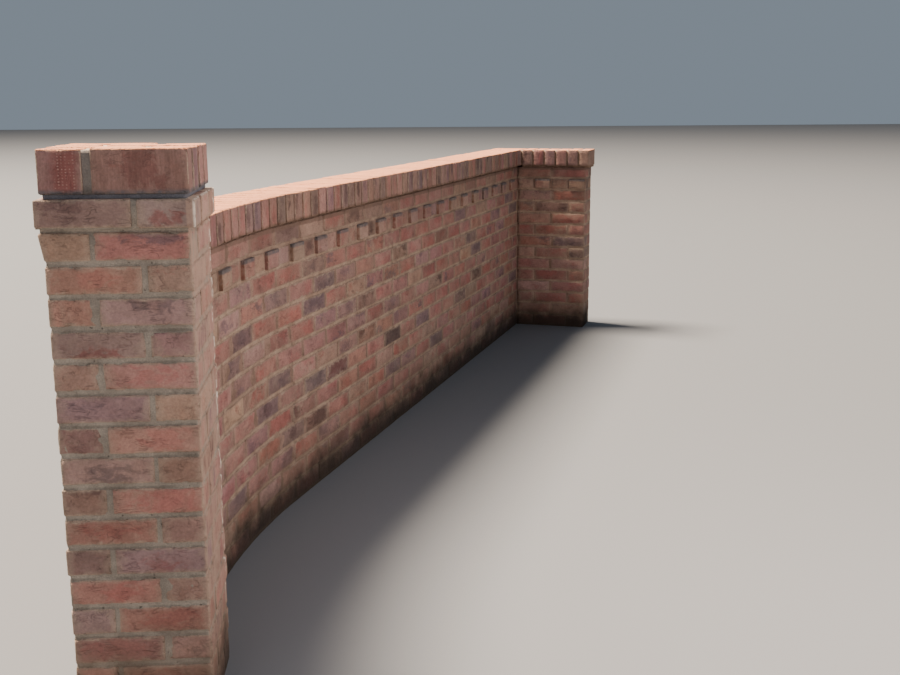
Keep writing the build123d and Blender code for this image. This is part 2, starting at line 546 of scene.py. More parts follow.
def joint_dish(up: Array) -> Array:
    """Hollow of a tooled bed joint, 1 in its middle: a half sine over the joint's height."""
    part = np.mod(up, COURSE) / (JOINT + 0.002)
    return np.where(part < 1.0, np.sin(np.pi * np.clip(part, 0.0, 1.0)), 0.0)


# Shader work


SOCKET_KINDS = {
    **dict.fromkeys(("Local", "Half", "Mark", "Grain", "Place", "Stretch"), "NodeSocketVector"),
    **dict.fromkeys(("Body", "Burn", "Light", "Dark", "Colour"), "NodeSocketColor"),
}


class Wire:
    """An output of a node. A sum, noise, ramp or tint of wires adds nodes to the same tree."""

    def __init__(self, bench: "NodeBench", socket: Socket) -> None:
        """Hold an output and the bench of its tree."""
        self.bench = bench
        self.socket = socket

    def __add__(self, other: object) -> "Wire":
        """The sum."""
        return self.bench.math("ADD", self, other)

    def __sub__(self, other: object) -> "Wire":
        """The difference."""
        return self.bench.math("SUBTRACT", self, other)

    def __rsub__(self, other: object) -> "Wire":
        """The difference from a plain number."""
        return self.bench.math("SUBTRACT", other, self)

    def __mul__(self, other: object) -> "Wire":
        """The product."""
        return self.bench.math("MULTIPLY", self, other)

    def __truediv__(self, other: object) -> "Wire":
        """The quotient."""
        return self.bench.math("DIVIDE", self, other)

    def __abs__(self) -> "Wire":
        """The size without its sign."""
        return self.bench.math("ABSOLUTE", self)

    def least(self, other: object) -> "Wire":
        """The smaller of two."""
        return self.bench.math("MINIMUM", self, other)

    def most(self, other: object) -> "Wire":
        """The larger of two."""
        return self.bench.math("MAXIMUM", self, other)

    def split(self) -> list["Wire"]:
        """The three parts of a vector."""
        return self.bench.add("ShaderNodeSeparateXYZ", {0: self})

    def noise(
        self, scale: float, detail: float = 2.0, rough: float = 0.5, twist: float = 0.0
    ) -> "Wire":
        """Noise value at this place.

        Args:
            scale: Cells per metre.
            detail: Number of finer layers.
            rough: Strength of the finer layers.
            twist: Amount of distortion.

        Returns:
            The value, about 0.2 to 0.8.
        """
        values = {"Scale": scale, "Detail": detail, "Roughness": rough, "Distortion": twist}
        return self.bench.add("ShaderNodeTexNoise", {"Vector": self, **values})[0]

    def ramp(self, low: object, high: object, start: object = 0.0, end: object = 1.0) -> "Wire":
        """Smooth step from one value to another as this goes from low to high."""
        values = {"From Min": low, "From Max": high, "To Min": start, "To Max": end}
        kind = "ShaderNodeMapRange"
        return self.bench.add(kind, {"Value": self, **values}, interpolation_type="SMOOTHSTEP")[0]

    def fade(self, low: object, high: object, start: object = 1.0) -> "Wire":
        """Smooth fall from a value to 0 as this goes from low to high."""
        return self.ramp(low, high, start, 0.0)

    def tint(self, paint: object) -> "Wire":
        """This colour times another."""
        return self.bench.blend(1.0, self, paint, "MULTIPLY")

    def shade(self, factor: "Wire") -> "Wire":
        """This colour times a number."""
        parts = dict.fromkeys((0, 1, 2), factor)
        return self.tint(self.bench.add("ShaderNodeCombineXYZ", parts)[0])


class NodeBench:
    """Adds nodes to one tree and joins them."""

    def __init__(self, tree: bpy.types.NodeTree) -> None:
        """Take the tree that is worked on."""
        self.tree = tree

    def feed(self, socket: Socket, value: object) -> None:
        """Join a wire to a socket, or set the socket's own value."""
        if isinstance(value, Wire):
            self.tree.links.new(value.socket, socket)
        else:
            socket.default_value = value

    def place(
        self, kind: str, inputs: dict[str | int, object], **settings: object
    ) -> bpy.types.Node:
        """Add one node, at the end of rows of ten.

        Args:
            kind: Blender's name for the node.
            inputs: Value or wire for each named or numbered input.
            **settings: The node's own settings.

        Returns:
            The node.
        """
        row, column = divmod(len(self.tree.nodes), 10)
        node = self.tree.nodes.new(kind)
        node.location = (240.0 * column, -280.0 * row)
        for name, value in settings.items():
            setattr(node, name, value)
        for key, value in inputs.items():
            self.feed(node.inputs[key], value)
        return node

    def add(self, kind: str, inputs: dict[str | int, object], **settings: object) -> list[Wire]:
        """Add one node and give a wire for each of its outputs."""
        return [Wire(self, socket) for socket in self.place(kind, inputs, **settings).outputs]

    def group(self, tree: bpy.types.NodeTree, **inputs: object) -> list[Wire]:
        """Place a shared node group with its own values."""
        return self.add("ShaderNodeGroup", inputs, node_tree=tree)

    def math(self, operation: str, *values: object) -> Wire:
        """Add one Math node, or one Vector Math node where a vector takes part.

        Args:
            operation: Blender's name for the sum.
            *values: What goes in: wires, numbers or vectors.

        Returns:
            The result.
        """
        sockets = (value.socket for value in values if isinstance(value, Wire))
        wide = any(isinstance(value, tuple) for value in values) or any(
            socket.type == "VECTOR" for socket in sockets
        )
        kind = "ShaderNodeVectorMath" if wide else "ShaderNodeMath"
        return self.add(kind, dict(enumerate(values)), operation=operation)[0]

    def blend(self, factor: object, first: object, second: object, kind: str = "MIX") -> Wire:
        """Mix of two colours."""
        values = {0: factor, 6: first, 7: second}
        return self.add("ShaderNodeMix", values, data_type="RGBA", blend_type=kind)[2]

    def attribute(self, name: str) -> list[Wire]:
        """Colour, vector, factor and alpha of one of the mesh's own attributes."""
        return self.add("ShaderNodeAttribute", {}, attribute_name=name)


class Effect(NodeBench):
    """A shader effect that several finishes share: the bench of one node group."""

    def __init__(self, name: str, inputs: str, outputs: str) -> None:
        """Make the empty group, with its inputs as wires.

        Args:
            name: Name of the group.
            inputs: Names of its inputs, with spaces between.
            outputs: Names of its outputs.
        """
        super().__init__(bpy.data.node_groups.new(name, "ShaderNodeTree"))
        for side, names in (("INPUT", inputs), ("OUTPUT", outputs)):
            for label in names.split():
                kind = SOCKET_KINDS.get(label, "NodeSocketFloat")
                self.tree.interface.new_socket(name=label, in_out=side, socket_type=kind)
        self.inputs = self.add("NodeGroupInput", {})[: len(inputs.split())]
        self.target = self.place("NodeGroupOutput", {})

    def close(self, *values: Wire) -> bpy.types.NodeTree:
        """Join the outputs in order and give the group."""
        for socket, value in zip(self.target.inputs, values):
            self.feed(socket, value)
        return self.tree


# Paints and levels that finishes share


MORTAR_LIGHT = (0.405, 0.305, 0.232, 1.0)
MORTAR_DARK = (0.275, 0.200, 0.150, 1.0)
FLANK_WASH = (0.405, 0.262, 0.200, 1.0)
# Colour of the painted shade and dirt under the coping.
EAVE_SHADE_AND_DIRT = (0.170, 0.106, 0.082, 1.0)
SPLASHED_EARTH = (0.166, 0.114, 0.076, 1.0)
DAMP_AND_SHADE_TINT = (0.19, 0.20, 0.21, 1.0)
DARK_GRAIN = (0.090, 0.064, 0.060, 1.0)
BRICK_DUST = (0.345, 0.192, 0.152, 1.0)
# Warm cream of the painted highlight on the tops of the cap and coping.
SUN_HIGHLIGHT = (0.690, 0.276, 0.138, 1.0)
# Pale cream of the mortar splashes and of the painted highlight on the oversail's arrises.
LIME_AND_HIGHLIGHT = (0.800, 0.700, 0.600, 1.0)
DIMPLE_FIELD = (0.205, 0.070, 0.060, 1.0)
DIMPLE = (0.420, 0.250, 0.212, 1.0)
# Bluish grey of the painted shade and dust on the tops of the dentils.
LEDGE_SHADE_AND_DUST = (0.112, 0.102, 0.106, 1.0)
EAVE_LEVEL = 1.050
DAMP_SHADE_HEIGHT = 0.156
BRICK_VECTORS = ("grain", "local", "half", "mark")


class Effects:
    """The node groups of the wall's finishes, and the dirt, damp and painted shade that bricks and
    mortar share.
    """

    def __init__(self) -> None:
        """Build every group once."""
        self.edge = self.edge_distance()
        self.patch = self.fire_patch()
        self.clay = self.clay_face()
        self.smear = self.mortar_smear()
        self.ground = self.ground_damp_and_shade()
        self.flank = self.flank_wash()
        self.eave = self.eave_shade_and_dirt()
        self.relief = self.face_relief()
        self.sand = self.sandy_mortar()

    def edge_distance(self) -> bpy.types.NodeTree:
        """Distance on a face to its nearest arris, and one in which gaps up count more than twice.

        Each is the middle one of the three gaps between the place and the half size.

        Returns:
            The group.
        """
        effect = Effect("Arris Distance", "Local Half", "Distance Ends")
        local, half = effect.inputs
        x, y, z = (half - abs(local)).split()
        middles = []
        for rise in (z, z * 2.4):
            low = x.least(y).least(rise)
            high = x.most(y).most(rise)
            middles.append(x + y + rise - low - high)
        return effect.close(*middles)

    def fire_patch(self) -> bpy.types.NodeTree:
        """Where a brick's patch lies: strong in the middle of an oval on the face, none outside it.

        Returns:
            The group.
        """
        effect = Effect("Fire Patch", "Local Half Mark", "Focus")
        local, half, mark = effect.inputs
        _, y, z = (local / half).split()
        along, up, width = mark.split()
        across = (y - along) / width
        rise = (z - up) / 1.15
        reach = effect.math("SQRT", across * across + rise * rise)
        return effect.close(reach.fade(0.1, 1.5))

    def clay_face(self) -> bpy.types.NodeTree:
        """Colour of a fired face: body, patches, mottling, dark grains and fine creases.

        Returns:
            The group.
        """
        effect = Effect("Clay Face", "Body Burn Patch Grain Focus Depth", "Colour Crease")
        body, burn, patch, grain, focus, depth = effect.inputs
        long = grain * (1.0, 0.5, 1.0)
        raised = long.noise(38.0, 5.0, 0.68, 0.9) + (focus - 0.35) * 0.30
        low = 0.76 - patch * 0.44
        colour = effect.blend(raised.ramp(low, low + 0.15), body, burn)
        warm = long.noise(21.0, 3.0, 0.6, 0.4).ramp(0.50, 0.72, 0.0, 0.45)
        colour = effect.blend(warm, colour, body.tint((1.10, 1.00, 0.94, 1.0)))
        colour = colour.shade(grain.noise(13.0, 3.0, 0.55, 0.5).ramp(0.30, 0.72, 0.84, 1.16))
        colour = colour.shade(grain.noise(150.0, 5.0, 0.70, 0.3).ramp(0.30, 0.70, 0.82, 1.17))
        bent = (grain * (1.0, 0.36, 1.25)).noise(46.0, 2.0, 0.55, 1.4)
        where = grain.noise(24.0).ramp(0.49, 0.60)
        crease = abs(bent - 0.5).fade(0.004, 0.034) * where
        colour = effect.blend(crease * depth, colour, burn.tint((0.52, 0.54, 0.62, 1.0)))
        speck = grain.noise(520.0, 2.0, 0.6).ramp(0.64, 0.72, 0.0, 0.45)
        return effect.close(effect.blend(speck, colour, DARK_GRAIN), crease)

    def mortar_smear(self) -> bpy.types.NodeTree:
        """Mortar on the face: a ragged band along the arrises, soft halos at the ends, thin haze.

        Returns:
            The group.
        """
        effect = Effect("Mortar Smear", "Distance Ends Grain Amount Halo", "Mask")
        distance, ends, grain, amount, halo = effect.inputs
        ragged = grain.noise(38.0, 5.0, 0.65, 0.4)
        width = ragged.ramp(0.36, 0.74, 0.0010, 0.0150) * (amount + 0.35)
        band = distance.fade(width * 0.35, width)
        soft = ends.fade(0.0, ragged.ramp(0.30, 0.70, 0.010, 0.045))
        haze = grain.noise(11.0, 5.0, 0.68, 0.6).ramp(0.48, 0.76) * amount * 0.75
        return effect.close((band * 0.80).most((soft * halo).most(haze)))

    def ground_damp_and_shade(self) -> bpy.types.NodeTree:
        """Damp with painted contact shade on the lowest course, ragged at its top, and a film of
        earth that reaches higher.

        Returns:
            The group.
        """
        effect = Effect("Ground Damp And Shade", "Place Height", "Mask Film")
        place, height = effect.inputs
        level = place.split()[2] + (place.noise(7.0, 4.0, 0.6) - 0.5) * 0.22
        mask = level.fade(height * 0.20, height)
        return effect.close(mask, level.fade(0.05, 0.30, 0.62))

    def eave_shade_and_dirt(self) -> bpy.types.NodeTree:
        """Painted shade and dirt below a level: an uneven dark line, and a thin film that fades
        downwards.

        Returns:
            The group.
        """
        effect = Effect("Eave Shade And Dirt", "Place Level", "Mask")
        place, level = effect.inputs
        cloud = place.noise(24.0, 4.0, 0.65)
        below = level - (place.split()[2] + cloud * 0.012)
        wide = below.fade(0.0, 0.230, 0.44) * cloud.ramp(0.30, 0.70, 0.55, 1.0)
        return effect.close(below.fade(0.0080, 0.0165, 0.84).most(wide))

    def flank_wash(self) -> bpy.types.NodeTree:
        """Thin mortar washed down the pier's inner side in upright streaks.

        Returns:
            The group.
        """
        effect = Effect("Flank Wash", "Place Amount", "Mask")
        place, amount = effect.inputs
        side = place.split()[0].ramp(0.1560, 0.1595)
        streak = (place * (1.0, 1.0, 0.22)).noise(52.0, 4.0, 0.62, 0.2)
        return effect.close(side * streak.ramp(0.36, 0.60, 0.0, amount))

    def face_relief(self) -> bpy.types.NodeTree:
        """Height of a brick's face in metres: drag marks, soft dents, creases, sand, worn arrises.

        Returns:
            The group.
        """
        effect = Effect("Face Relief", "Grain Stretch Drag Crease Distance", "Height Streak")
        grain, stretch, drag, crease, distance = effect.inputs
        streak = (grain * stretch).noise(190.0, 4.0, 0.62, 0.1)
        dent = (grain * (1.0, 0.6, 1.2)).noise(75.0, 3.0, 0.6, 0.8)
        height = (streak - 0.5) * drag + dent * 0.0040 - crease * 0.0012
        height = height + grain.noise(640.0, 3.0, 0.7) * 0.00055
        bite = grain.noise(62.0, 3.0, 0.6).ramp(0.52, 0.68)
        height = height - bite * distance.fade(0.0, 0.0085) * 0.0030
        return effect.close(height, streak)

    def sandy_mortar(self) -> bpy.types.NodeTree:
        """Sand and cement: soft clouds, pale and dark grains, pinholes and a height in metres.

        Returns:
            The group.
        """
        effect = Effect("Sandy Mortar", "Place Light Dark", "Colour Height")
        place, light, dark = effect.inputs
        colour = effect.blend(place.noise(14.0, 5.0, 0.62, 0.4).ramp(0.32, 0.68), dark, light)
        grains = place.noise(480.0, 3.0, 0.72)
        holes = place.noise(95.0).ramp(0.68, 0.76)
        colour = colour.shade(grains.ramp(0.32, 0.68, 0.78, 1.24))
        colour = colour.shade(holes.ramp(0.0, 1.0, 1.0, 0.40))
        lumps = place.noise(110.0, 4.0, 0.62, 0.3)
        return effect.close(colour, lumps * 0.0042 + grains * 0.0009 - holes * 0.0020)

    def under_eave(self, place: Wire, colour: Wire, level: float) -> Wire:
        """Lay the painted shade and dirt under a level over a colour.

        Args:
            place: The object's coordinates.
            colour: Colour so far.
            level: Height of the dark line of painted shade and dirt in metres, or 0 for none.

        Returns:
            The new colour.
        """
        if not level:
            return colour
        # Painted shade under the coping's overhang, mixed with dirt.
        dirt = place.bench.group(self.eave, Place=place, Level=level)[0]
        return place.bench.blend(dirt, colour, EAVE_SHADE_AND_DIRT)

    def at_foot(self, place: Wire, colour: Wire, height: float) -> Wire:
        """Lay splashed earth, and a band of damp with painted shade, over a colour.

        Args:
            place: The object's coordinates.
            colour: Colour so far.
            height: Height of the band of damp and painted shade in metres, or 0 for none.

        Returns:
            The new colour.
        """
        if not height:
            return colour
        damp, film = place.bench.group(self.ground, Place=place, Height=height)
        colour = place.bench.blend(film, colour, SPLASHED_EARTH)
        # Damp darkening with painted contact shade at the foot.
        return place.bench.blend(damp * 0.92, colour, colour.tint(DAMP_AND_SHADE_TINT))


# Finishes


def open_material(name: str) -> tuple[bpy.types.Material, NodeBench, Wire]:
    """Open a material that reads the object's own coordinates.

    Args:
        name: Name of the material.

    Returns:
        The empty material, the bench of its tree, and the coordinates.
    """
    made = bpy.data.materials.new(name)
    made.use_nodes = True
    made.node_tree.nodes.clear()
    bench = NodeBench(made.node_tree)
    coordinates = bench.place("ShaderNodeTexCoord", {})
    return made, bench, Wire(bench, coordinates.outputs["Object"])


def close_material(colour: Wire, height: Wire, rough: object, gloss: float) -> None:
    """End a material in one shader whose normal comes from a height in metres.

    Args:
        colour: Base colour.
        height: Height of the surface.
        rough: Roughness.
        gloss: Specular level.
    """
    bench = colour.bench
    bump = bench.add("ShaderNodeBump", {"Strength": 1.0, "Distance": 1.0, "Height": height})[0]
    inputs = {"Base Color": colour, "Roughness": rough, "Normal": bump, "Specular IOR Level": gloss}
    surface = bench.add("ShaderNodeBsdfPrincipled", inputs)[0]
    bench.add("ShaderNodeOutputMaterial", {"Surface": surface})


@dataclass(frozen=True)
class BrickFinish:
    """Finish of one group of bricks.

    Attributes:
        name: Name of the material.
        stretch: How the drag marks are drawn out, as factors out, along and up.
        drag: Height of the drag marks in metres.
        streak: How much the drag marks change the colour, 0 to 1.
        mottle: How the patches are drawn out, as factors out, along and up.
        crease: How dark the creases are, 0 to 1.
        smear: How much mortar is smeared on the faces, as a factor.
        halo: Strength of the pale halo at the ends, 0 to 1.
        dust: How much one dusty colour evens out the bricks, 0 to 1.
        damp_shade_height: Height of the band of damp and painted shade at the ground in metres, or
            0.
        flank: Extra mortar on the inner side, 0 to 1.
        ledge_shade: Painted shade on the sides, and painted shade with dust on the tops, of bricks
            that stand out, 0 to 1.
        foot: Painted shade with dirt along the lower edge of overhanging bricks, 0 to 1.
        foot_paint: Colour of that painted shade and dirt.
        eave: Height of the line of painted shade and dirt under the coping in metres, or 0.
        sun_highlight: How much the tops are lightened to a warm cream as a painted highlight, 0 to
            1.
        dimples: Depth of rows of small dimples in metres, or 0.
    """

    name: str
    stretch: Colour = (1.0, 0.30, 1.0)
    drag: float = 0.0008
    streak: float = 0.0
    mottle: Colour = (1.0, 1.0, 1.0)
    crease: float = 0.55
    smear: float = 1.0
    halo: float = 0.50
    dust: float = 0.12
    damp_shade_height: float = DAMP_SHADE_HEIGHT
    flank: float = 0.0
    ledge_shade: float = 0.0
    foot: float = 0.0
    foot_paint: Paint = (0.185, 0.110, 0.078, 1.0)
    eave: float = 0.0
    sun_highlight: float = 0.0
    dimples: float = 0.0

    def material(self, effects: Effects) -> bpy.types.Material:
        """Build the material.

        Args:
            effects: The shared node groups.

        Returns:
            The material.
        """
        made, bench, place = open_material(self.name)
        grain, local, half, mark = (bench.attribute(name)[1] for name in BRICK_VECTORS)
        body, _, _, patch = bench.attribute("clay")
        burn, _, _, smeared = bench.attribute("burn")
        edge, ends = bench.group(effects.edge, Local=local, Half=half)
        focus = bench.group(effects.patch, Local=local, Half=half, Mark=mark)[0]
        clay = {"Body": body, "Burn": burn, "Patch": patch, "Focus": focus, "Depth": self.crease}
        colour, crease = bench.group(effects.clay, Grain=grain * self.mottle, **clay)
        marks = {"Stretch": self.stretch, "Drag": self.drag, "Crease": crease, "Distance": edge}
        height, streak = bench.group(effects.relief, Grain=grain, **marks)
        colour = bench.blend(self.dust, colour, BRICK_DUST)
        if self.streak:
            pale = 1.0 + 0.6 * self.streak
            colour = colour.shade(streak.ramp(0.34, 0.64, 1.0 - self.streak, pale))
        if self.dimples:
            colour, height = self.dimple_rows(local, grain, colour, height)
        amount = smeared * self.smear
        if self.flank:
            amount = amount + place.split()[0].ramp(0.156, 0.1615, 0.0, self.flank)
        film = {"Distance": edge, "Ends": ends, "Amount": amount, "Halo": self.halo}
        smear = bench.group(effects.smear, Grain=grain, **film)[0]
        sand = bench.group(effects.sand, Place=place, Light=MORTAR_LIGHT, Dark=MORTAR_DARK)[0]
        colour = bench.blend(smear, colour, sand)
        if self.flank:
            wash = bench.group(effects.flank, Place=place, Amount=0.62 * self.flank)[0]
            colour = self.lime_and_highlight(place, bench.blend(wash, colour, FLANK_WASH))
        # Painted shade with dirt: darker along the lower edge of overhanging bricks.
        if self.foot:
            low = (local + half).split()[2].fade(0.0030, 0.0140, self.foot)
            patchy = grain.noise(42.0, 3.0, 0.6).ramp(0.36, 0.60, 0.45, 1.0)
            colour = bench.blend(low * patchy, colour, self.foot_paint)
        colour = effects.under_eave(place, colour, self.eave)
        # Painted highlight: the top few millimetres turn warm cream, as if lit by the sun.
        if self.sun_highlight:
            top = (half - local).split()[2].fade(0.0004, 0.0040, self.sun_highlight)
            colour = bench.blend(top, colour, SUN_HIGHLIGHT)
        if self.ledge_shade:
            colour = self.ledge_shade_and_dust(local, half, grain, burn, colour)
        colour = effects.at_foot(place, colour, self.damp_shade_height)
        rough = grain.noise(60.0, 3.0, 0.6).ramp(0.3, 0.7, 0.82, 0.97)
        close_material(colour, height + smear * 0.0006, rough, 0.28)
        return made

    def dimple_rows(
        self, local: Wire, grain: Wire, colour: Wire, height: Wire
    ) -> tuple[Wire, Wire]:
        """Upright rows of small pale dimples: a dot in each cell of a grid, kept to a few columns.

        Args:
            local: Place in the brick.
            grain: Place for noise.
            colour: Colour so far.
            height: Height so far.

        Returns:
            The new colour and height.
        """
        bench = local.bench
        shift = grain.noise(120.0, 1.0) * (0.0, 0.0030, 0.0024)
        _, y, z = (local + shift).split()
        across = bench.math("FRACT", (y + 0.5) / 0.0084) - 0.5
        rise = bench.math("FRACT", (z + 0.5) / 0.0068) - 0.5
        dot = (across * across + rise * rise).fade(0.020, 0.110)
        ragged = y + grain.noise(55.0, 3.0, 0.6) * 0.030
        band = ragged.ramp(-0.006, 0.016) * ragged.fade(0.046, 0.062)
        dot = dot * band * grain.noise(90.0).ramp(0.40, 0.62)
        colour = bench.blend(band * 0.62, colour, DIMPLE_FIELD)
        colour = bench.blend(dot * 0.60, colour, DIMPLE)
        return colour, height - dot * self.dimples

    def lime_and_highlight(self, place: Wire, colour: Wire) -> Wire:
        """White mortar splashes by the wing wall, and a painted highlight along the oversail's
        arrises on the inner side.

        Args:
            place: The object's coordinates.
            colour: Colour so far.

        Returns:
            The new colour.
        """
        x, y, z = place.split()
        cloud = (place * (1.0, 1.0, 0.55)).noise(62.0, 4.0, 0.68)
        corner = x.ramp(0.146, 0.156) * y.ramp(0.112, 0.150)
        # Painted highlight: a pale rim along the top and front arrises of the oversail's inner
        # side.
        rim = z.ramp(1.2700, 1.2730).most(y.ramp(-0.1720, -0.1755))
        rim = rim * x.ramp(0.1700, 0.1750) * cloud.ramp(0.38, 0.50, 0.1, 0.62)
        drops = corner * cloud.ramp(0.535, 0.590)
        return place.bench.blend(drops.most(rim), colour, LIME_AND_HIGHLIGHT)

    def ledge_shade_and_dust(
        self, local: Wire, half: Wire, grain: Wire, burn: Wire, colour: Wire
    ) -> Wire:
        """Brown painted shade on the sides, and grey painted shade with dust on the tops, of bricks
        that stand out from the face.

        Args:
            local: Place in the brick.
            half: Half size of the brick.
            grain: Place for noise.
            burn: Colour of the brick's patches.
            colour: Colour so far.

        Returns:
            The new colour.
        """
        _, y, z = (half - abs(local)).split()
        uneven = grain.noise(48.0, 3.0, 0.6).ramp(0.34, 0.62, 0.25, 1.0)
        # Painted shade on the sides and on the tops; the tops also carry dust.
        side = y.fade(0.0002, 0.0016, self.ledge_shade) * uneven
        top = z.fade(0.0085, 0.0165, self.ledge_shade) * uneven.ramp(0.25, 1.0, 0.60, 1.0)
        top = top * local.bench.math("GREATER_THAN", local.split()[2], 0.0)
        colour = local.bench.blend(side, colour, burn.tint((0.62, 0.60, 0.52, 1.0)))
        return local.bench.blend(top, colour, LEDGE_SHADE_AND_DUST)


@dataclass(frozen=True)
class MortarFinish:
    """Finish of a mortar.

    Attributes:
        name: Name of the material.
        light: Colour of its pale parts.
        dark: Colour of its dark parts.
        damp_shade_height: Height of the band of damp and painted shade at the ground in metres, or
            0.
        lit_top_height: Height from which its top takes the lit colours, in metres, or 0.
        crest: Colours of that top, painted as lit: a highlight on the cap's joints, plain mortar
            above the coping's shaded joints.
        joint_shade: Depth of the painted shade line along the top of each course, 0 to 1.
        upright: Colours of the upright joints, or none where they are like the others.
        washed: True where the inner side is washed over like the bricks, and the painted shade line
            fades there.
        eave: Height of the line of painted shade and dirt under the coping in metres, or 0.
    """

    name: str
    light: Paint = MORTAR_LIGHT
    dark: Paint = MORTAR_DARK
    damp_shade_height: float = DAMP_SHADE_HEIGHT
    lit_top_height: float = 0.0
    crest: tuple[Paint, Paint] = (MORTAR_LIGHT, MORTAR_DARK)
    joint_shade: float = 0.0
    upright: tuple[Paint, Paint] | None = None
    washed: bool = False
    eave: float = 0.0

    def material(self, effects: Effects) -> bpy.types.Material:
        """Build the material.

        Args:
            effects: The shared node groups.

        Returns:
            The material.
        """
        made, bench, place = open_material(self.name)
        x, _, up = place.split()
        part = bench.math("MODULO", up, COURSE)
        light, dark = self.light, self.dark
        # Painted light: above this height the joint's top takes paler colours than its sides.
        if self.lit_top_height:
            top = up.ramp(self.lit_top_height - 0.004, self.lit_top_height)
            light, dark = (bench.blend(top, *pair) for pair in zip((light, dark), self.crest))
        if self.upright:
            between = part.ramp(0.0105, 0.0150) * part.fade(0.0735, 0.0748)
            light, dark = (bench.blend(between, *pair) for pair in zip((light, dark), self.upright))
        colour, height = bench.group(effects.sand, Place=place, Light=light, Dark=dark)
        # Painted shade: a dark line along the foot of each bed joint, above the arris of the brick
        # below, where the recess lies in shade.
        if self.joint_shade:
            line = part.fade(0.0008, 0.0068).most(part.ramp(0.0700, 0.0735))
            line = line * place.noise(19.0, 4.0, 0.65).ramp(0.36, 0.60, 0.12, 1.0)
            if self.washed:
                line = line * x.ramp(0.1520, 0.1580, 1.0, 0.1)
            colour = colour.shade(line.ramp(0.0, 1.0, 1.0, 1.0 - self.joint_shade))
        if self.washed:
            wash = bench.group(effects.flank, Place=place, Amount=0.85)[0]
            colour = bench.blend(wash, colour, FLANK_WASH)
        colour = effects.under_eave(place, colour, self.eave)
        colour = effects.at_foot(place, colour, self.damp_shade_height)
        close_material(colour, height, 0.95, 0.2)
        return made


def paints(light: Colour, dark: Colour) -> tuple[Paint, Paint]:
    """A pale and a dark colour with full alpha."""
    return (*light, 1.0), (*dark, 1.0)


class Finishes:
    """Every material of the wall, each built once."""

    def __init__(self) -> None:
        """Build the shared effects and the materials."""
        edge_brick = {
            "stretch": (1.0, 1.0, 0.10),
            "drag": 0.0014,
            "streak": 0.10,
            "mottle": (1.0, 1.25, 0.60),
            "crease": 0.20,
            "smear": 0.45,
            "halo": 0.15,
            "damp_shade_height": 0.0,
            "foot": 0.90,
            "sun_highlight": 0.75,
        }
        # On the cap, the painted shade and dirt along the lower edges is bluish grey.
        on_cap = {**edge_brick, "foot_paint": (0.100, 0.098, 0.108, 1.0)}
        on_coping = {**edge_brick, "streak": 0.15, "smear": 0.28}
        dentil = {"smear": 1.3, "halo": 0.3, "dust": 0.15, "ledge_shade": 0.90, "eave": EAVE_LEVEL}
        wall = {"smear": 1.6, "halo": 0.38, "dust": 0.10, "eave": EAVE_LEVEL}
        grey = paints((0.325, 0.276, 0.228), (0.220, 0.184, 0.152))
        slate = paints((0.190, 0.162, 0.146), (0.120, 0.102, 0.092))
        cream = paints((0.850, 0.680, 0.540), (0.620, 0.480, 0.370))
        pale = paints((0.435, 0.312, 0.232), (0.305, 0.205, 0.152))
        even = paints((0.350, 0.225, 0.175), (0.215, 0.135, 0.102))
        # Dark paints of the coping's deep joints: mortar darkened with painted shade of the recess.
        deep = paints((0.265, 0.172, 0.125), (0.160, 0.102, 0.076))
        bluish = paints((0.160, 0.158, 0.178), (0.095, 0.094, 0.110))
        effects = Effects()
        self.pier = BrickFinish("pier_brick_face", crease=0.42, flank=1.0).material(effects)
        self.wall = BrickFinish("wall_brick_face", **wall).material(effects)
        self.dentil = BrickFinish("dentil_brick_face", **dentil).material(effects)
        self.cap = BrickFinish("cap_brick_face", **on_cap).material(effects)
        self.bat = BrickFinish("cap_bat_face", dimples=0.0009, **on_cap).material(effects)
        self.coping = BrickFinish("coping_brick_face", **on_coping).material(effects)
        self.mortar = MortarFinish("pale_mortar", *grey, joint_shade=0.30, washed=True).material(effects)
        # The top of the cap's joints is painted cream as a highlight.
        cap_joint = {"damp_shade_height": 0.0, "lit_top_height": 1.379, "crest": cream}
        self.perpend = MortarFinish("cap_joint_mortar", *slate, **cap_joint).material(effects)
        wall_joint = {"joint_shade": 0.22, "upright": even, "eave": EAVE_LEVEL}
        self.joints = MortarFinish("wall_joint_mortar", *pale, **wall_joint).material(effects)
        # Above this height the coping joints keep the plain mortar colours, the lit copy of their
        # painted shade.
        coping_joint = {"damp_shade_height": 0.0, "lit_top_height": 1.156}
        self.deep = MortarFinish("deep_joint_mortar", *deep, **coping_joint).material(effects)
        self.bed = MortarFinish("dark_bed_mortar", *bluish, damp_shade_height=0.0).material(effects)


# Pieces


def add_piece(
    mesh: bpy.types.Mesh, material: bpy.types.Material, slot: str, *nodes: str
) -> None:
    """Put a mesh into the scene as one piece of the object.

    Args:
        mesh: The piece's mesh, whose name it takes.
        material: Its finish.
        slot: The record's material slot. Not used.
        *nodes: CAD nodes that it stands for.
    """
    mesh.materials.append(material)
    mesh.polygons.foreach_set("use_smooth", np.ones(len(mesh.polygons), bool))
    mesh.update()
    piece = bpy.data.objects.new(mesh.name, mesh)
    bpy.context.scene.collection.objects.link(piece)
    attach(piece, "root")
    if nodes:
        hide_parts(*nodes)
    LOG.info("%s: %d faces", mesh.name, len(mesh.polygons))


@dataclass(frozen=True)
class FrontCourse:
    """Kinds of a pier course's front header and stretcher, and the stretcher's patch."""

    header: Clay
    stretcher: Clay
    mark: Span = (0.0, 0.0)


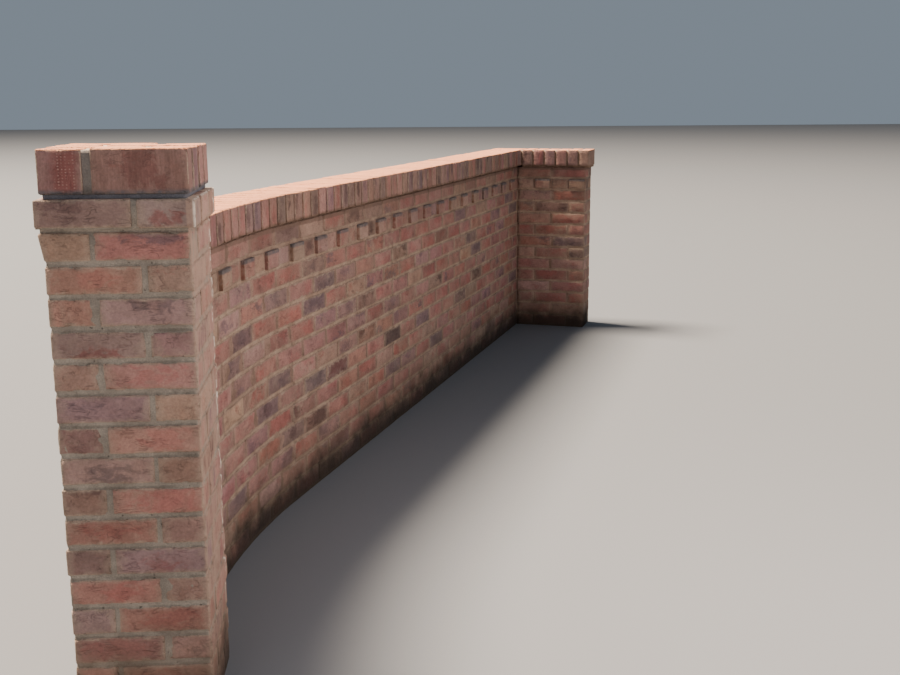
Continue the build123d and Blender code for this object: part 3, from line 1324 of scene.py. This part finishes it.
FRONT_COURSES = (
    FrontCourse(Clay.TAWNY, Clay.FLASHED, (0.15, 0.8)),
    FrontCourse(Clay.BUFF, Clay.ROSE),
    FrontCourse(Clay.ROSE, Clay.VIOLET, (0.1, 0.9)),
    FrontCourse(Clay.PLUM, Clay.DABBED, (-0.1, -0.7)),
    FrontCourse(Clay.TAWNY, Clay.ROSE, (0.1, 0.0)),
    FrontCourse(Clay.SANDY, Clay.VIOLET, (-0.3, 0.5)),
    FrontCourse(Clay.MAROON, Clay.ROSE, (0.2, 0.0)),
    FrontCourse(Clay.DARK, Clay.VIOLET, (0.0, -0.4)),
    FrontCourse(Clay.DARK, Clay.RED, (0.3, 0.0)),
    FrontCourse(Clay.TAWNY, Clay.OXIDE),
    FrontCourse(Clay.UMBER, Clay.DABBED, (0.0, -0.3)),
    FrontCourse(Clay.TAWNY, Clay.RED, (0.1, 0.0)),
    FrontCourse(Clay.VIOLET, Clay.OXIDE, (0.2, 0.0)),
    FrontCourse(Clay.PLUM, Clay.OXIDE),
    FrontCourse(Clay.FLASHED, Clay.OXIDE),
    FrontCourse(Clay.OXIDE, Clay.DARK),
)


PIER_SPANS = (8, 18, 6)


@dataclass
class Masonry:
    """Part of the wall that is laid from its own source of kinds and small errors.

    Attributes:
        finishes: The wall's materials.
        seed: Number that picks the bricks.
        random: The source.
    """

    finishes: Finishes
    seed: int
    random: np.random.Generator = field(init=False)

    def __post_init__(self) -> None:
        """Start the source."""
        self.random = np.random.default_rng(self.seed)

    def pick(self, blend: dict[Clay, float]) -> Clay:
        """Pick one kind of brick from a blend by its shares."""
        shares = np.array(list(blend.values()))
        return list(blend)[int(self.random.choice(len(blend), p=shares / shares.sum()))]


@dataclass
class Pier(Masonry):
    """The square pier, its oversailing course and its cap.

    Attributes:
        side: Width of the shaft.
        courses: Courses in the shaft.
        oversail: How far the oversailing course stands out.
        proud: How far the cap stands out from the shaft.
        flare: How far the top course leans out on the outer side.
        flare_from: Distance from the middle at which it begins to lean.
        flare_reach: Distance over which the lean grows to its full amount.
        recess: Depth of the joints.
        front: The front face's bricks in each course, from the top.
    """

    side: float = 0.3275
    courses: int = 16
    oversail: float = 0.015
    proud: float = 0.0025
    flare: float = 0.0115
    flare_from: float = 0.066
    flare_reach: float = 0.080
    recess: float = 0.0028
    front: tuple[FrontCourse, ...] = FRONT_COURSES

    def build(self) -> None:
        """Build and dress the pier's pieces."""
        self.shaft()
        self.oversail_course()
        self.cap()
        self.mortar()

    def shaft(self) -> None:
        """Lay four bricks to a course, about the middle and mirrored in every other course."""
        lot = BrickLot()
        half = self.side / 2
        out = (half - BRICK_WIDTH, half)
        for course in range(self.courses):
            along = (half - BRICK_LENGTH, half) if course % 2 else (-half, BRICK_LENGTH - half)
            front = self.front[self.courses - 1 - course]
            for quarter in range(4):
                kind, mark = self.pick(PLAIN_BLEND), None
                if quarter == 1:
                    kind, mark = front.stretcher, front.mark
                if quarter == (2 if course % 2 else 0):
                    kind = front.header
                run = StraightRun(0.0, 0.0, quarter * math.pi / 2)
                lot.lay(run, Brick(along, out, brick_rise(course), kind, mark))
        form = BrickForm(PIER_SPANS, relief=0.0013, chip=0.0050, open_back=True)
        mesh = self.flared(lot.mesh("pier_shaft_bricks", form, self.random))
        add_piece(mesh, self.finishes.pier, "pier_brick", "pier_shaft")

    def flared(self, mesh: bpy.types.Mesh) -> bpy.types.Mesh:
        """Lean the top course outwards: x less the flare times how far up and how far out.

        Args:
            mesh: The shaft's bricks or mortar.

        Returns:
            The same mesh.
        """
        places = np.empty(3 * len(mesh.vertices))
        mesh.vertices.foreach_get("co", places)
        places = places.reshape(-1, 3)
        out, up = -places[:, 0], places[:, 2]
        rise = np.clip((up - (self.courses - 1) * COURSE - JOINT) / BRICK_HEIGHT, 0.0, 1.0)
        reach = np.clip((out - self.flare_from) / self.flare_reach, 0.0, 1.0)
        reach *= out < self.side / 2 + 0.004
        places[:, 0] -= self.flare * rise * reach
        mesh.vertices.foreach_set("co", places.ravel())
        return mesh

    def oversail_course(self) -> None:
        """Lay the course that stands out: two bricks front and back, and one in each side."""
        lot = BrickLot()
        half = self.side / 2 + self.oversail - 0.0012
        up = (self.courses * COURSE + JOINT, self.courses * COURSE + COURSE)
        short = 2 * half - BRICK_LENGTH - JOINT
        out = (half - BRICK_WIDTH, half)
        for heading, kind in ((math.pi / 2, Clay.UMBER), (-math.pi / 2, Clay.RED)):
            run = StraightRun(0.0, 0.0, heading)
            lot.lay(run, Brick((-half, -half + BRICK_LENGTH), out, up, kind, (-0.45, 0.6)))
            lot.lay(run, Brick((half - short, half), out, up, Clay.DABBED, (0.1, -0.6)))
        inner = half - BRICK_WIDTH - JOINT
        for heading in (0.0, math.pi):
            lot.lay(StraightRun(0.0, 0.0, heading), Brick((-inner, inner), out, up, Clay.BUFF))
        form = BrickForm(PIER_SPANS, chip=0.0050, open_back=True)
        mesh = lot.mesh("pier_oversail_bricks", form, self.random)
        add_piece(mesh, self.finishes.pier, "pier_brick", "pier_oversail_course")

    def cap(self) -> None:
        """Lay the cap: four rows on edge, each a brick and a bat, the bats on alternate sides."""
        rows, bat = BrickLot(), BrickLot()
        half = self.side / 2 + self.proud
        bottom = (self.courses + 1) * COURSE + JOINT
        up = (bottom, bottom + BRICK_WIDTH - 0.0014)
        pitch = (2 * half - BRICK_HEIGHT) / 3
        run = StraightRun(0.0, 0.0, math.pi / 2)
        wholes = (Clay.MAROON, Clay.BUFF, Clay.ROSE, Clay.RED)
        parts = (Clay.MAROON, Clay.PLUM, Clay.BUFF, Clay.ROSE)
        short = 2 * half - BRICK_LENGTH - 0.0175
        for row, (whole, part) in enumerate(zip(wholes, parts)):
            front = half - 0.0006 - row * pitch
            out = (front - BRICK_HEIGHT, front)
            left = row % 2 == 1
            long = (-half, -half + BRICK_LENGTH) if left else (half - BRICK_LENGTH, half)
            rest = (half - short, half) if left else (-half, -half + short)
            rows.lay(run, Brick(long, out, up, whole, (0.0, 0.2)))
            (rows if row else bat).lay(run, Brick(rest, out, up, part, (0.3, 0.0)))
        form = BrickForm((6, 20, 9), round_edge=0.0032, relief=0.0007, chip=0.0050)
        mesh = rows.mesh("pier_cap_on_edge", form, self.random)
        add_piece(mesh, self.finishes.cap, "cap_brick", "pier_cap_bricks")
        mesh = bat.mesh("pier_cap_front_bat", form, self.random)
        add_piece(mesh, self.finishes.bat, "cap_brick", "pier_cap_bricks")

    def skin(
        self, name: str, levels: Array, halves: Array, across: int, rough: float
    ) -> bpy.types.Mesh:
        """Square tube carried up: each ring is a square, moved in and out by noise.

        Args:
            name: Name of the mesh.
            levels: Height of each ring.
            halves: Half side of each ring.
            across: Steps along each side.
            rough: Height of the noise in metres.

        Returns:
            The mesh.
        """
        part = np.linspace(-1.0, 1.0, across, endpoint=False)
        one = np.ones(across)
        x = np.concatenate([part, one, -part, -one])[::-1]
        y = np.concatenate([-one, part, one, -part])[::-1]
        up = np.outer(levels, np.ones(4 * across))
        rings = np.stack([np.outer(halves, x), np.outer(halves, y), up], axis=-1)
        flat = rings.reshape(-1, 3)
        wave = rough * layered_noise(flat, 0.035, 3, SEED + 11)
        flat[:, :2] *= (1.0 + wave / np.repeat(halves, 4 * across))[:, None]
        return carried_profile(name, flat.reshape(rings.shape))

    def mortar(self) -> None:
        """Build the mortar in the shaft, under the oversail and in the cap."""
        half = self.side / 2
        top = self.courses * COURSE
        levels = joint_levels(self.courses)
        halves = half - self.recess - 0.0014 * joint_dish(levels)
        under, over, crown = top - 0.001, top + JOINT, top + COURSE - 0.001
        back, wide = half - 0.006, half + self.oversail - 0.006
        levels = np.concatenate([levels, [under, under, over, over, crown]])
        halves = np.concatenate([halves, [half - 0.004, back, back, wide, wide]])
        core = self.flared(self.skin("pier_shaft_mortar", levels, halves, 36, 0.0013))
        add_piece(core, self.finishes.mortar, "mortar", "pier_oversail_bed")
        base = top + COURSE
        rise = np.linspace(base, base + JOINT, 5)
        bed = self.skin("pier_cap_bed_mortar", rise, np.full(5, half - 0.0065), 36, 0.0022)
        add_piece(bed, self.finishes.bed, "dark_mortar", "pier_cap_bed")
        rise = np.linspace(base + JOINT, base + JOINT + BRICK_WIDTH - 0.0052, 12)
        halves = np.full(12, half + self.proud - 0.0050)
        joints = self.skin("pier_cap_mortar", rise, halves, 44, 0.0012)
        add_piece(joints, self.finishes.perpend, "mortar", "pier_cap_joints")


@dataclass(frozen=True)
class Stretch:
    """One named length of the wing wall.

    Attributes:
        name: Name of the length in the CAD.
        start: Where it begins along the run.
        end: Where it ends.
        copings: Bricks in its coping.
        coping_start: Where its coping begins.
        coping_end: Where its coping ends.
    """

    name: str
    start: float
    end: float
    copings: int
    coping_start: float
    coping_end: float


@dataclass(frozen=True)
class Feature:
    """A face brick that stands out: its course, a station on it, its kind and its patch."""

    course: int
    station: float
    clay: Clay
    mark: Span = (0.0, 0.4)


LEAST_FILL = 0.03
SHORTEST_PIECE = 0.070
JOINT_SHIFT = 0.006


@dataclass
class WallRun(Masonry):
    """A run of half-lap walling in two skins, with dentils, a neck course and a coping on edge.

    Attributes:
        run: Its line in plan.
        stretches: Its named lengths in order.
        even_joint: A place of an upright joint in the even courses.
        dentils: Left ends of the projecting headers along the run.
        face_ends: Ends of the inner skin in even and in odd courses.
        back_ends: Ends of the other skin in even and in odd courses.
        closed_end: True where the far end is seen, and bricks laid across close it.
        features: Face bricks that stand out.
        dark_copings: Stations of the dark bricks in the coping.
        lead: Length by which the coping's mortar starts before its bricks.
        thickness: Thickness of the wall.
        body_courses: Courses under the dentil course.
        dentil_out: How far the headers stand out.
        coping_out: How far the coping stands out.
        recess: Depth of the joints.
        facing: Flush bricks of each length.
        heads: Projecting headers of each length.
    """

    run: Run
    stretches: tuple[Stretch, ...]
    even_joint: float
    dentils: Array
    face_ends: tuple[Span, Span]
    back_ends: tuple[Span, Span]
    closed_end: bool
    features: tuple[Feature, ...] = ()
    dark_copings: tuple[float, ...] = ()
    lead: float = 0.0
    thickness: float = 0.215
    body_courses: int = 12
    dentil_out: float = 0.0115
    coping_out: float = 0.025
    recess: float = 0.0022
    facing: dict[str, BrickLot] = field(default_factory=dict)
    heads: dict[str, BrickLot] = field(default_factory=dict)

    def build(self) -> None:
        """Build and dress every length of the run."""
        for stretch in self.stretches:
            self.facing[stretch.name] = BrickLot()
            self.heads[stretch.name] = BrickLot()
        for course in range(self.body_courses + 2):
            if course == self.body_courses:
                self.dentil_course()
            else:
                self.face_course(course)
            self.back_course(course)
        for stretch in self.stretches:
            self.dress(stretch)

    def home(self, station: float) -> str:
        """Name of the length that a station lies in."""
        ends = (stretch.name for stretch in self.stretches if station < stretch.end)
        return next(ends, self.stretches[-1].name)

    def blend(self, course: int) -> dict[Clay, float]:
        """Blend of bricks in a course: damp at the foot, soft above the body, plain in it."""
        special = {0: DAMP_BLEND, self.body_courses: PALE_BLEND, self.body_courses + 1: SOFT_BLEND}
        return special.get(course, PLAIN_BLEND)

    def spread(self, ends: Span, course: int) -> list[Span]:
        """Ends of the bricks in a half-lap course, with no piece shorter than a third of a brick.

        Args:
            ends: The course's two ends, as distances walked on its face.
            course: Its number.

        Returns:
            Two ends for each brick.
        """
        first, last = ends
        offset = self.even_joint + (MODULE / 2 if course % 2 else 0.0)
        offset += float(self.random.uniform(-JOINT_SHIFT, JOINT_SHIFT))
        start = math.ceil((first - offset) / MODULE)
        joints = offset + MODULE * np.arange(start, start + int((last - first) / MODULE) + 2)
        joints = joints[(joints > first + SHORTEST_PIECE) & (joints < last - SHORTEST_PIECE)]
        cuts = [first - JOINT / 2, *joints.tolist(), last + JOINT / 2]
        return [(low + JOINT / 2, high - JOINT / 2) for low, high in zip(cuts[:-1], cuts[1:])]

    def face_brick(self, course: int, along: Span) -> None:
        """Lay one flush brick of the inner skin, as the features say or from the blend.

        Args:
            course: Its course.
            along: Its ends along the face.
        """
        clay, mark = self.pick(self.blend(course)), None
        for feature in self.features:
            if feature.course == course and along[0] < feature.station < along[1]:
                clay, mark = feature.clay, feature.mark
        brick = Brick(along, (-BRICK_WIDTH, 0.0), brick_rise(course), clay, mark)
        self.facing[self.home(sum(along) / 2)].lay(self.run, brick)

    def face_course(self, course: int) -> None:
        """Lay one plain course of the inner skin."""
        for along in self.spread(self.face_ends[course % 2], course):
            self.face_brick(course, along)

    def dentil_course(self) -> None:
        """Lay the dentil course: headers that stand out, and flush bricks between them."""
        out = (-BRICK_WIDTH, self.dentil_out)
        edge, last = self.face_ends[self.body_courses % 2]
        for left in self.dentils:
            if left - JOINT - edge > LEAST_FILL:
                self.face_brick(self.body_courses, (edge, left - JOINT))
            ends = (left, left + BRICK_WIDTH)
            brick = Brick(ends, out, brick_rise(self.body_courses), self.pick(PALE_BLEND))
            self.heads[self.home(left + BRICK_WIDTH / 2)].lay(self.run, brick)
            edge = left + BRICK_WIDTH + JOINT
        if last - edge > LEAST_FILL:
            self.face_brick(self.body_courses, (edge, last))

    def back_course(self, course: int) -> None:
        """Lay one course of the other skin, facing outwards, and the brick that closes its end.

        Args:
            course: Its number.
        """
        up = brick_rise(course)
        blend = DAMP_BLEND if course == 0 else PLAIN_BLEND
        across = self.closed_end and course % 2 == 0 and course != self.body_courses
        first, last = self.back_ends[course % 2]
        if self.closed_end and course == self.body_courses:
            last = self.stretches[-1].end
        ends = (self.run.paced(first, -self.thickness), self.run.paced(last, -self.thickness))
        out = (-self.thickness, BRICK_WIDTH - self.thickness)
        for along in self.spread(ends, course):
            home = self.home(self.run.station(sum(along) / 2, -self.thickness))
            brick = Brick(along, out, up, self.pick(blend), None, -self.thickness, True)
            self.facing[home].lay(self.run, brick)
        if across:
            end = self.stretches[-1].end
            brick = Brick((end - BRICK_WIDTH, end), (-self.thickness, 0.0), up, self.pick(blend))
            self.facing[self.stretches[-1].name].lay(self.run, brick)

    def dress(self, stretch: Stretch) -> None:
        """Make one length's pieces.

        Args:
            stretch: The length.
        """
        name = stretch.name
        spans = (4, 4, 2) if self.closed_end else (1, 4, 2)
        buried = not self.closed_end
        plain = BrickForm(spans, round_edge=0.0036, relief=0.0011, chip=0.0030, open_back=buried)
        nodes = (name + "_body", name + "_dentil_course", name + "_neck_course")
        mesh = self.facing[name].mesh(name + "_facing_bricks", plain, self.random)
        add_piece(mesh, self.finishes.wall, "wall_brick", *nodes)
        small = BrickForm((4, 5, 3), relief=0.0009, chip=0.0040)
        mesh = self.heads[name].mesh(name + "_dentils", small, self.random)
        add_piece(mesh, self.finishes.dentil, "dentil_brick", name + "_dentil_headers")
        mesh = self.coping(stretch)
        add_piece(mesh, self.finishes.coping, "coping_brick", name + "_coping_bricks")
        add_piece(self.core(stretch), self.finishes.joints, "mortar")
        add_piece(self.comb(stretch), self.finishes.deep, "mortar", name + "_coping_mortar")

    def coping(self, stretch: Stretch) -> bpy.types.Mesh:
        """Bricks on edge, square to the face and evenly spaced.

        Args:
            stretch: The length.

        Returns:
            The mesh.
        """
        lot = BrickLot()
        bottom = (self.body_courses + 2) * COURSE + JOINT
        up = (bottom, bottom + BRICK_WIDTH - 0.0008)
        out = (self.coping_out - BRICK_LENGTH, self.coping_out)
        pitch = (stretch.coping_end - stretch.coping_start) / stretch.copings
        for index in range(stretch.copings):
            middle = stretch.coping_start + (index + 0.5) * pitch
            ends = (middle - BRICK_HEIGHT / 2, middle + BRICK_HEIGHT / 2)
            dark = any(ends[0] < station < ends[1] for station in self.dark_copings)
            kind = Clay.DARK if dark else self.pick(EDGE_BLEND)
            lot.lay(self.run, Brick(ends, out, up, kind))
        form = BrickForm((7, 3, 5), round_edge=0.0036, relief=0.0008, chip=0.0045)
        return lot.mesh(stretch.name + "_coping_on_edge", form, self.random)

    def carried(self, start: float, end: float, step: float, profile: Array) -> tuple[Array, ...]:
        """A profile repeated at evenly spaced stations that take in both ends.

        Args:
            start: First station.
            end: Last station.
            step: Rough distance between stations.
            profile: Distance out and height of each point, shape (n, 2).

        Returns:
            Station, distance out and height of every point, ring after ring.
        """
        along = np.linspace(start, end, max(2, int(round((end - start) / step)) + 1))
        grid_along, grid_out = np.meshgrid(along, profile[:, 0], indexing="ij")
        return grid_along.ravel(), grid_out.ravel(), np.tile(profile[:, 1], len(along))

    def core(self, stretch: Stretch) -> bpy.types.Mesh:
        """Mortar of the two skins: a profile with dished joints, carried along with some noise.

        Args:
            stretch: The length.

        Returns:
            The mesh.
        """
        top = (self.body_courses + 2) * COURSE
        levels = joint_levels(self.body_courses + 2)
        dish = 0.0013 * joint_dish(levels)
        front = np.stack([-self.recess - dish, levels], axis=1)
        back = np.stack([-self.thickness + self.recess + dish, levels], axis=1)[::-1]
        outs = (-self.recess, -self.thickness + self.recess)
        crown = np.array([[out, top - 0.001] for out in outs])
        profile = np.concatenate([front, crown, back])
        end = stretch.end - (self.recess if stretch == self.stretches[-1] else 0.0)
        along, out, up = self.carried(stretch.start, end, 0.028, profile)
        side = np.sign(out + self.thickness / 2)
        wave = layered_noise(np.stack([along, side, up], axis=1), 0.045, 3, SEED + 3)
        places = self.run.place(along, out + side * 0.0010 * wave, up)
        return carried_profile(stretch.name + "_wall_mortar", places.reshape(-1, len(profile), 3))

    def comb(self, stretch: Stretch) -> bpy.types.Mesh:
        """Mortar under and between the coping bricks: a stepped profile, carried with some noise.

        Args:
            stretch: The length.

        Returns:
            The mesh.
        """
        low = (self.body_courses + 2) * COURSE - 0.001
        mid = low + JOINT + 0.001
        high = mid + BRICK_WIDTH
        front, back = self.coping_out, self.coping_out - BRICK_LENGTH
        toe, rear = -0.0050, back + 0.0065
        rise = np.linspace(mid + 0.004, high - 0.006, 6)
        fore = np.stack([np.full(6, front - 0.0075), rise], axis=1)
        aft = np.stack([np.full(6, rear), rise], axis=1)[::-1]
        across = np.linspace(front - 0.012, back + 0.012, 8)
        crest = np.stack([across, np.full(8, high - 0.0038)], axis=1)
        foot = np.array([[toe, low], [toe, mid]])
        heel = np.array([[rear, mid], [rear, low]])
        profile = np.concatenate([foot, fore, crest, aft, heel])
        end = stretch.coping_end
        if stretch == self.stretches[-1]:
            bare = (stretch.coping_end - stretch.coping_start) / stretch.copings - BRICK_HEIGHT
            end -= bare / 2 + 0.004
        along, out, up = self.carried(stretch.coping_start - self.lead, end, 0.014, profile)
        push = 0.0016 * layered_noise(np.stack([along, out, up], axis=1), 0.030, 3, SEED + 5)
        side = np.sign(out - (front + back) / 2)
        lift = np.where(up > high - 0.005, push, 0.0)
        places = self.run.place(along, out + side * push, up + lift)
        return carried_profile(stretch.name + "_coping_joints", places.reshape(-1, len(profile), 3))


# Studio


@dataclass(frozen=True)
class Lamp:
    """One square soft light.

    Attributes:
        name: Name of the light.
        place: Where it hangs.
        aim: Where it points.
        size: Its side in metres.
        power: Its power in watts.
        colour: Its colour.
    """

    name: str
    place: Colour
    aim: Colour
    size: float
    power: float
    colour: Colour

    def hang(self) -> None:
        """Add the light and point it."""
        light = bpy.data.lights.new(self.name, "AREA")
        light.shape = "SQUARE"
        light.size = self.size
        light.energy = self.power
        light.color = self.colour
        lamp = bpy.data.objects.new(self.name, light)
        lamp.location = self.place
        aim = Vector(self.aim) - Vector(self.place)
        lamp.rotation_euler = aim.to_track_quat("-Z", "Y").to_euler()
        bpy.context.scene.collection.objects.link(lamp)


@dataclass(frozen=True)
class Studio:
    """Floor, light and camera.

    Attributes:
        eye: Place of the camera.
        yaw: Turn of the view clockwise from +Y, in degrees.
        pitch: Tilt of the view below the horizon, in degrees.
        roll: Roll of the view, in degrees.
        lens: Focal length on a sensor 36 mm wide.
        key: Soft light above and behind the outer side.
        fill: Soft light on the inner side, near the pier.
        front: Soft light on the pier's front.
    """

    eye: Colour = (0.55287, -2.76811, 1.48932)
    yaw: float = 4.2273
    pitch: float = 11.7585
    roll: float = -0.2746
    lens: float = 45.891
    key: Lamp = Lamp("key", (-15.0, 11.5, 33.4), (0.3, 1.2, 1.0), 13.0, 93000.0, (1.0, 0.84, 0.66))
    fill: Lamp = Lamp("fill", (2.5, -0.2, 1.8), (0.2, 0.5, 0.7), 1.6, 58.0, (1.0, 0.87, 0.80))
    front: Lamp = Lamp("front", (-1.0, -3.6, 1.9), (0.0, 0.0, 0.8), 1.6, 40.0, (1.0, 0.93, 0.90))

    def build(self) -> None:
        """Set up the floor, the lights and the camera."""
        self.floor()
        for lamp in (self.key, self.fill, self.front):
            lamp.hang()
        self.surround()
        self.camera()

    def floor(self) -> None:
        """Lay a plain pale floor."""
        reach, level = 60.0, -0.0005
        signs = ((-1, -1), (1, -1), (1, 1), (-1, 1))
        corners = [(across * reach, along * reach, level) for across, along in signs]
        mesh = bpy.data.meshes.new("floor")
        mesh.from_pydata(corners, [], [[0, 1, 2, 3]])
        material = bpy.data.materials.new("pale_floor")
        material.use_nodes = True
        surface = material.node_tree.nodes["Principled BSDF"]
        surface.inputs["Base Color"].default_value = (0.150, 0.156, 0.168, 1.0)
        surface.inputs["Roughness"].default_value = 0.9
        mesh.materials.append(material)
        plane = bpy.data.objects.new("floor", mesh)
        bpy.context.scene.collection.objects.link(plane)

    def surround(self) -> None:
        """Light everything evenly from a pale world."""
        world = bpy.data.worlds.new("studio")
        world.use_nodes = True
        background = world.node_tree.nodes["Background"]
        background.inputs["Color"].default_value = (0.70, 0.84, 1.0, 1.0)
        background.inputs["Strength"].default_value = 0.29
        bpy.context.scene.world = world

    def camera(self) -> None:
        """Stand the camera: forward from yaw and pitch, right level, both turned by the roll."""
        yaw, pitch, roll = (math.radians(angle) for angle in (self.yaw, self.pitch, self.roll))
        flat = math.cos(pitch)
        forward = Vector((math.sin(yaw) * flat, math.cos(yaw) * flat, -math.sin(pitch)))
        level = Vector((math.cos(yaw), -math.sin(yaw), 0.0))
        lifted = level.cross(forward)
        right = level * math.cos(roll) + lifted * math.sin(roll)
        upward = lifted * math.cos(roll) - level * math.sin(roll)
        data = bpy.data.cameras.new("camera")
        data.sensor_width = 36.0
        data.lens = self.lens
        data.clip_end = 300.0
        eye = bpy.data.objects.new("camera", data)
        rotation = Matrix((right, upward, -forward)).transposed().to_4x4()
        eye.matrix_world = Matrix.Translation(self.eye) @ rotation
        bpy.context.scene.collection.objects.link(eye)
        bpy.context.scene.camera = eye


# Whole object


def wing_wall(finishes: Finishes) -> WallRun:
    """Set out the wing wall from the pier's back to its far corner.

    Args:
        finishes: The wall's materials.

    Returns:
        The wall.
    """
    stretches = (
        Stretch("curve_near", 0.0, 0.598, 8, 0.0, 0.598),
        Stretch("curve_far", 0.598, 1.273, 9, 0.598, 1.273),
        Stretch("straight_near", 1.273, 2.398, 15, 1.273, 2.398),
        Stretch("straight_far", 2.398, 3.523, 15, 2.398, 3.523),
        Stretch("corner", 3.523, 5.088, 21, 3.523, 5.063),
    )
    features = (
        Feature(13, 1.021, Clay.OXIDE),
        Feature(13, 1.246, Clay.UMBER, (0.0, 0.7)),
        Feature(13, 1.684, Clay.RED),
        Feature(13, 1.949, Clay.DARK, (0.0, 0.3)),
        Feature(13, 2.196, Clay.TAWNY),
        Feature(13, 2.645, Clay.RED),
        Feature(12, 1.450, Clay.DARK),
        Feature(12, 2.152, Clay.DARK),
        Feature(11, 1.215, Clay.RED, (-0.2, 0.0)),
        Feature(11, 1.460, Clay.SLATE),
        Feature(10, 0.983, Clay.FLASHED, (0.6, 0.2)),
        Feature(10, 1.125, Clay.SLATE),
        Feature(10, 1.827, Clay.PLUM),
        Feature(10, 3.209, Clay.OXIDE),
        Feature(9, 0.756, Clay.SLATE, (0.1, 0.3)),
        Feature(9, 1.460, Clay.SLATE, (0.0, 0.8)),
        Feature(9, 2.857, Clay.PLUM),
        Feature(8, 1.157, Clay.OXIDE, (0.4, 0.6)),
        Feature(8, 1.825, Clay.PLUM, (0.3, 0.4)),
        Feature(7, 0.727, Clay.PLUM, (-0.3, -0.8)),
        Feature(7, 2.159, Clay.OXIDE),
        Feature(7, 2.387, Clay.PLUM),
        Feature(7, 3.131, Clay.DARK, (0.8, 0.5)),
        Feature(6, 0.893, Clay.RED, (0.3, 0.4)),
        Feature(6, 1.130, Clay.SLATE, (0.3, 0.0)),
        Feature(6, 3.884, Clay.DARK),
        Feature(5, 1.089, Clay.UMBER),
        Feature(5, 1.496, Clay.SLATE, (0.2, 0.2)),
        Feature(5, 1.693, Clay.MAROON),
        Feature(5, 2.390, Clay.SOOTY),
        Feature(4, 1.154, Clay.RED),
        Feature(4, 1.306, Clay.DARK, (-0.8, 0.0)),
        Feature(3, 1.277, Clay.UMBER),
        Feature(1, 1.688, Clay.MAROON),
    )
    begin = JOINT / 2
    return WallRun(
        finishes=finishes,
        run=WingRun(),
        stretches=stretches,
        even_joint=0.128,
        dentils=0.153 + MODULE * np.arange(21),
        face_ends=((begin, 4.9755), (begin, 4.863)),
        back_ends=((begin, 5.088), (begin, 4.9755)),
        closed_end=False,
        seed=SEED + 1,
        features=features,
        dark_copings=(1.216, 1.291),
    )


def return_wall(finishes: Finishes) -> WallRun:
    """Set out the short return that turns square from the far corner.

    Args:
        finishes: The wall's materials.

    Returns:
        The wall.
    """
    wing = WingRun()
    corner = wing.place(np.array(4.873), np.array(0.0), np.array(0.0))
    heading = float(wing.turn(np.array(4.873))) + math.pi / 2
    return WallRun(
        finishes=finishes,
        run=StraightRun(float(corner[0]), float(corner[1]), heading),
        stretches=(Stretch("return", 0.0, 0.450, 6, 0.0300, 0.4800),),
        even_joint=0.1175,
        dentils=np.array([0.1175, 0.3425]),
        face_ends=((0.010, 0.3375), (-0.1025, 0.450)),
        back_ends=((-0.1025, 0.3375), (-0.215, 0.450)),
        closed_end=True,
        seed=SEED + 2,
        lead=0.004,
    )


def main() -> None:
    """Load the frame, and build the wall and the studio."""
    logging.basicConfig(level=logging.INFO, format="%(name)s: %(message)s")
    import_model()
    finishes = Finishes()
    Pier(finishes, SEED).build()
    wing_wall(finishes).build()
    return_wall(finishes).build()
    Studio().build()
    bpy.context.view_layer.update()


if __name__ == "__main__":
    main()
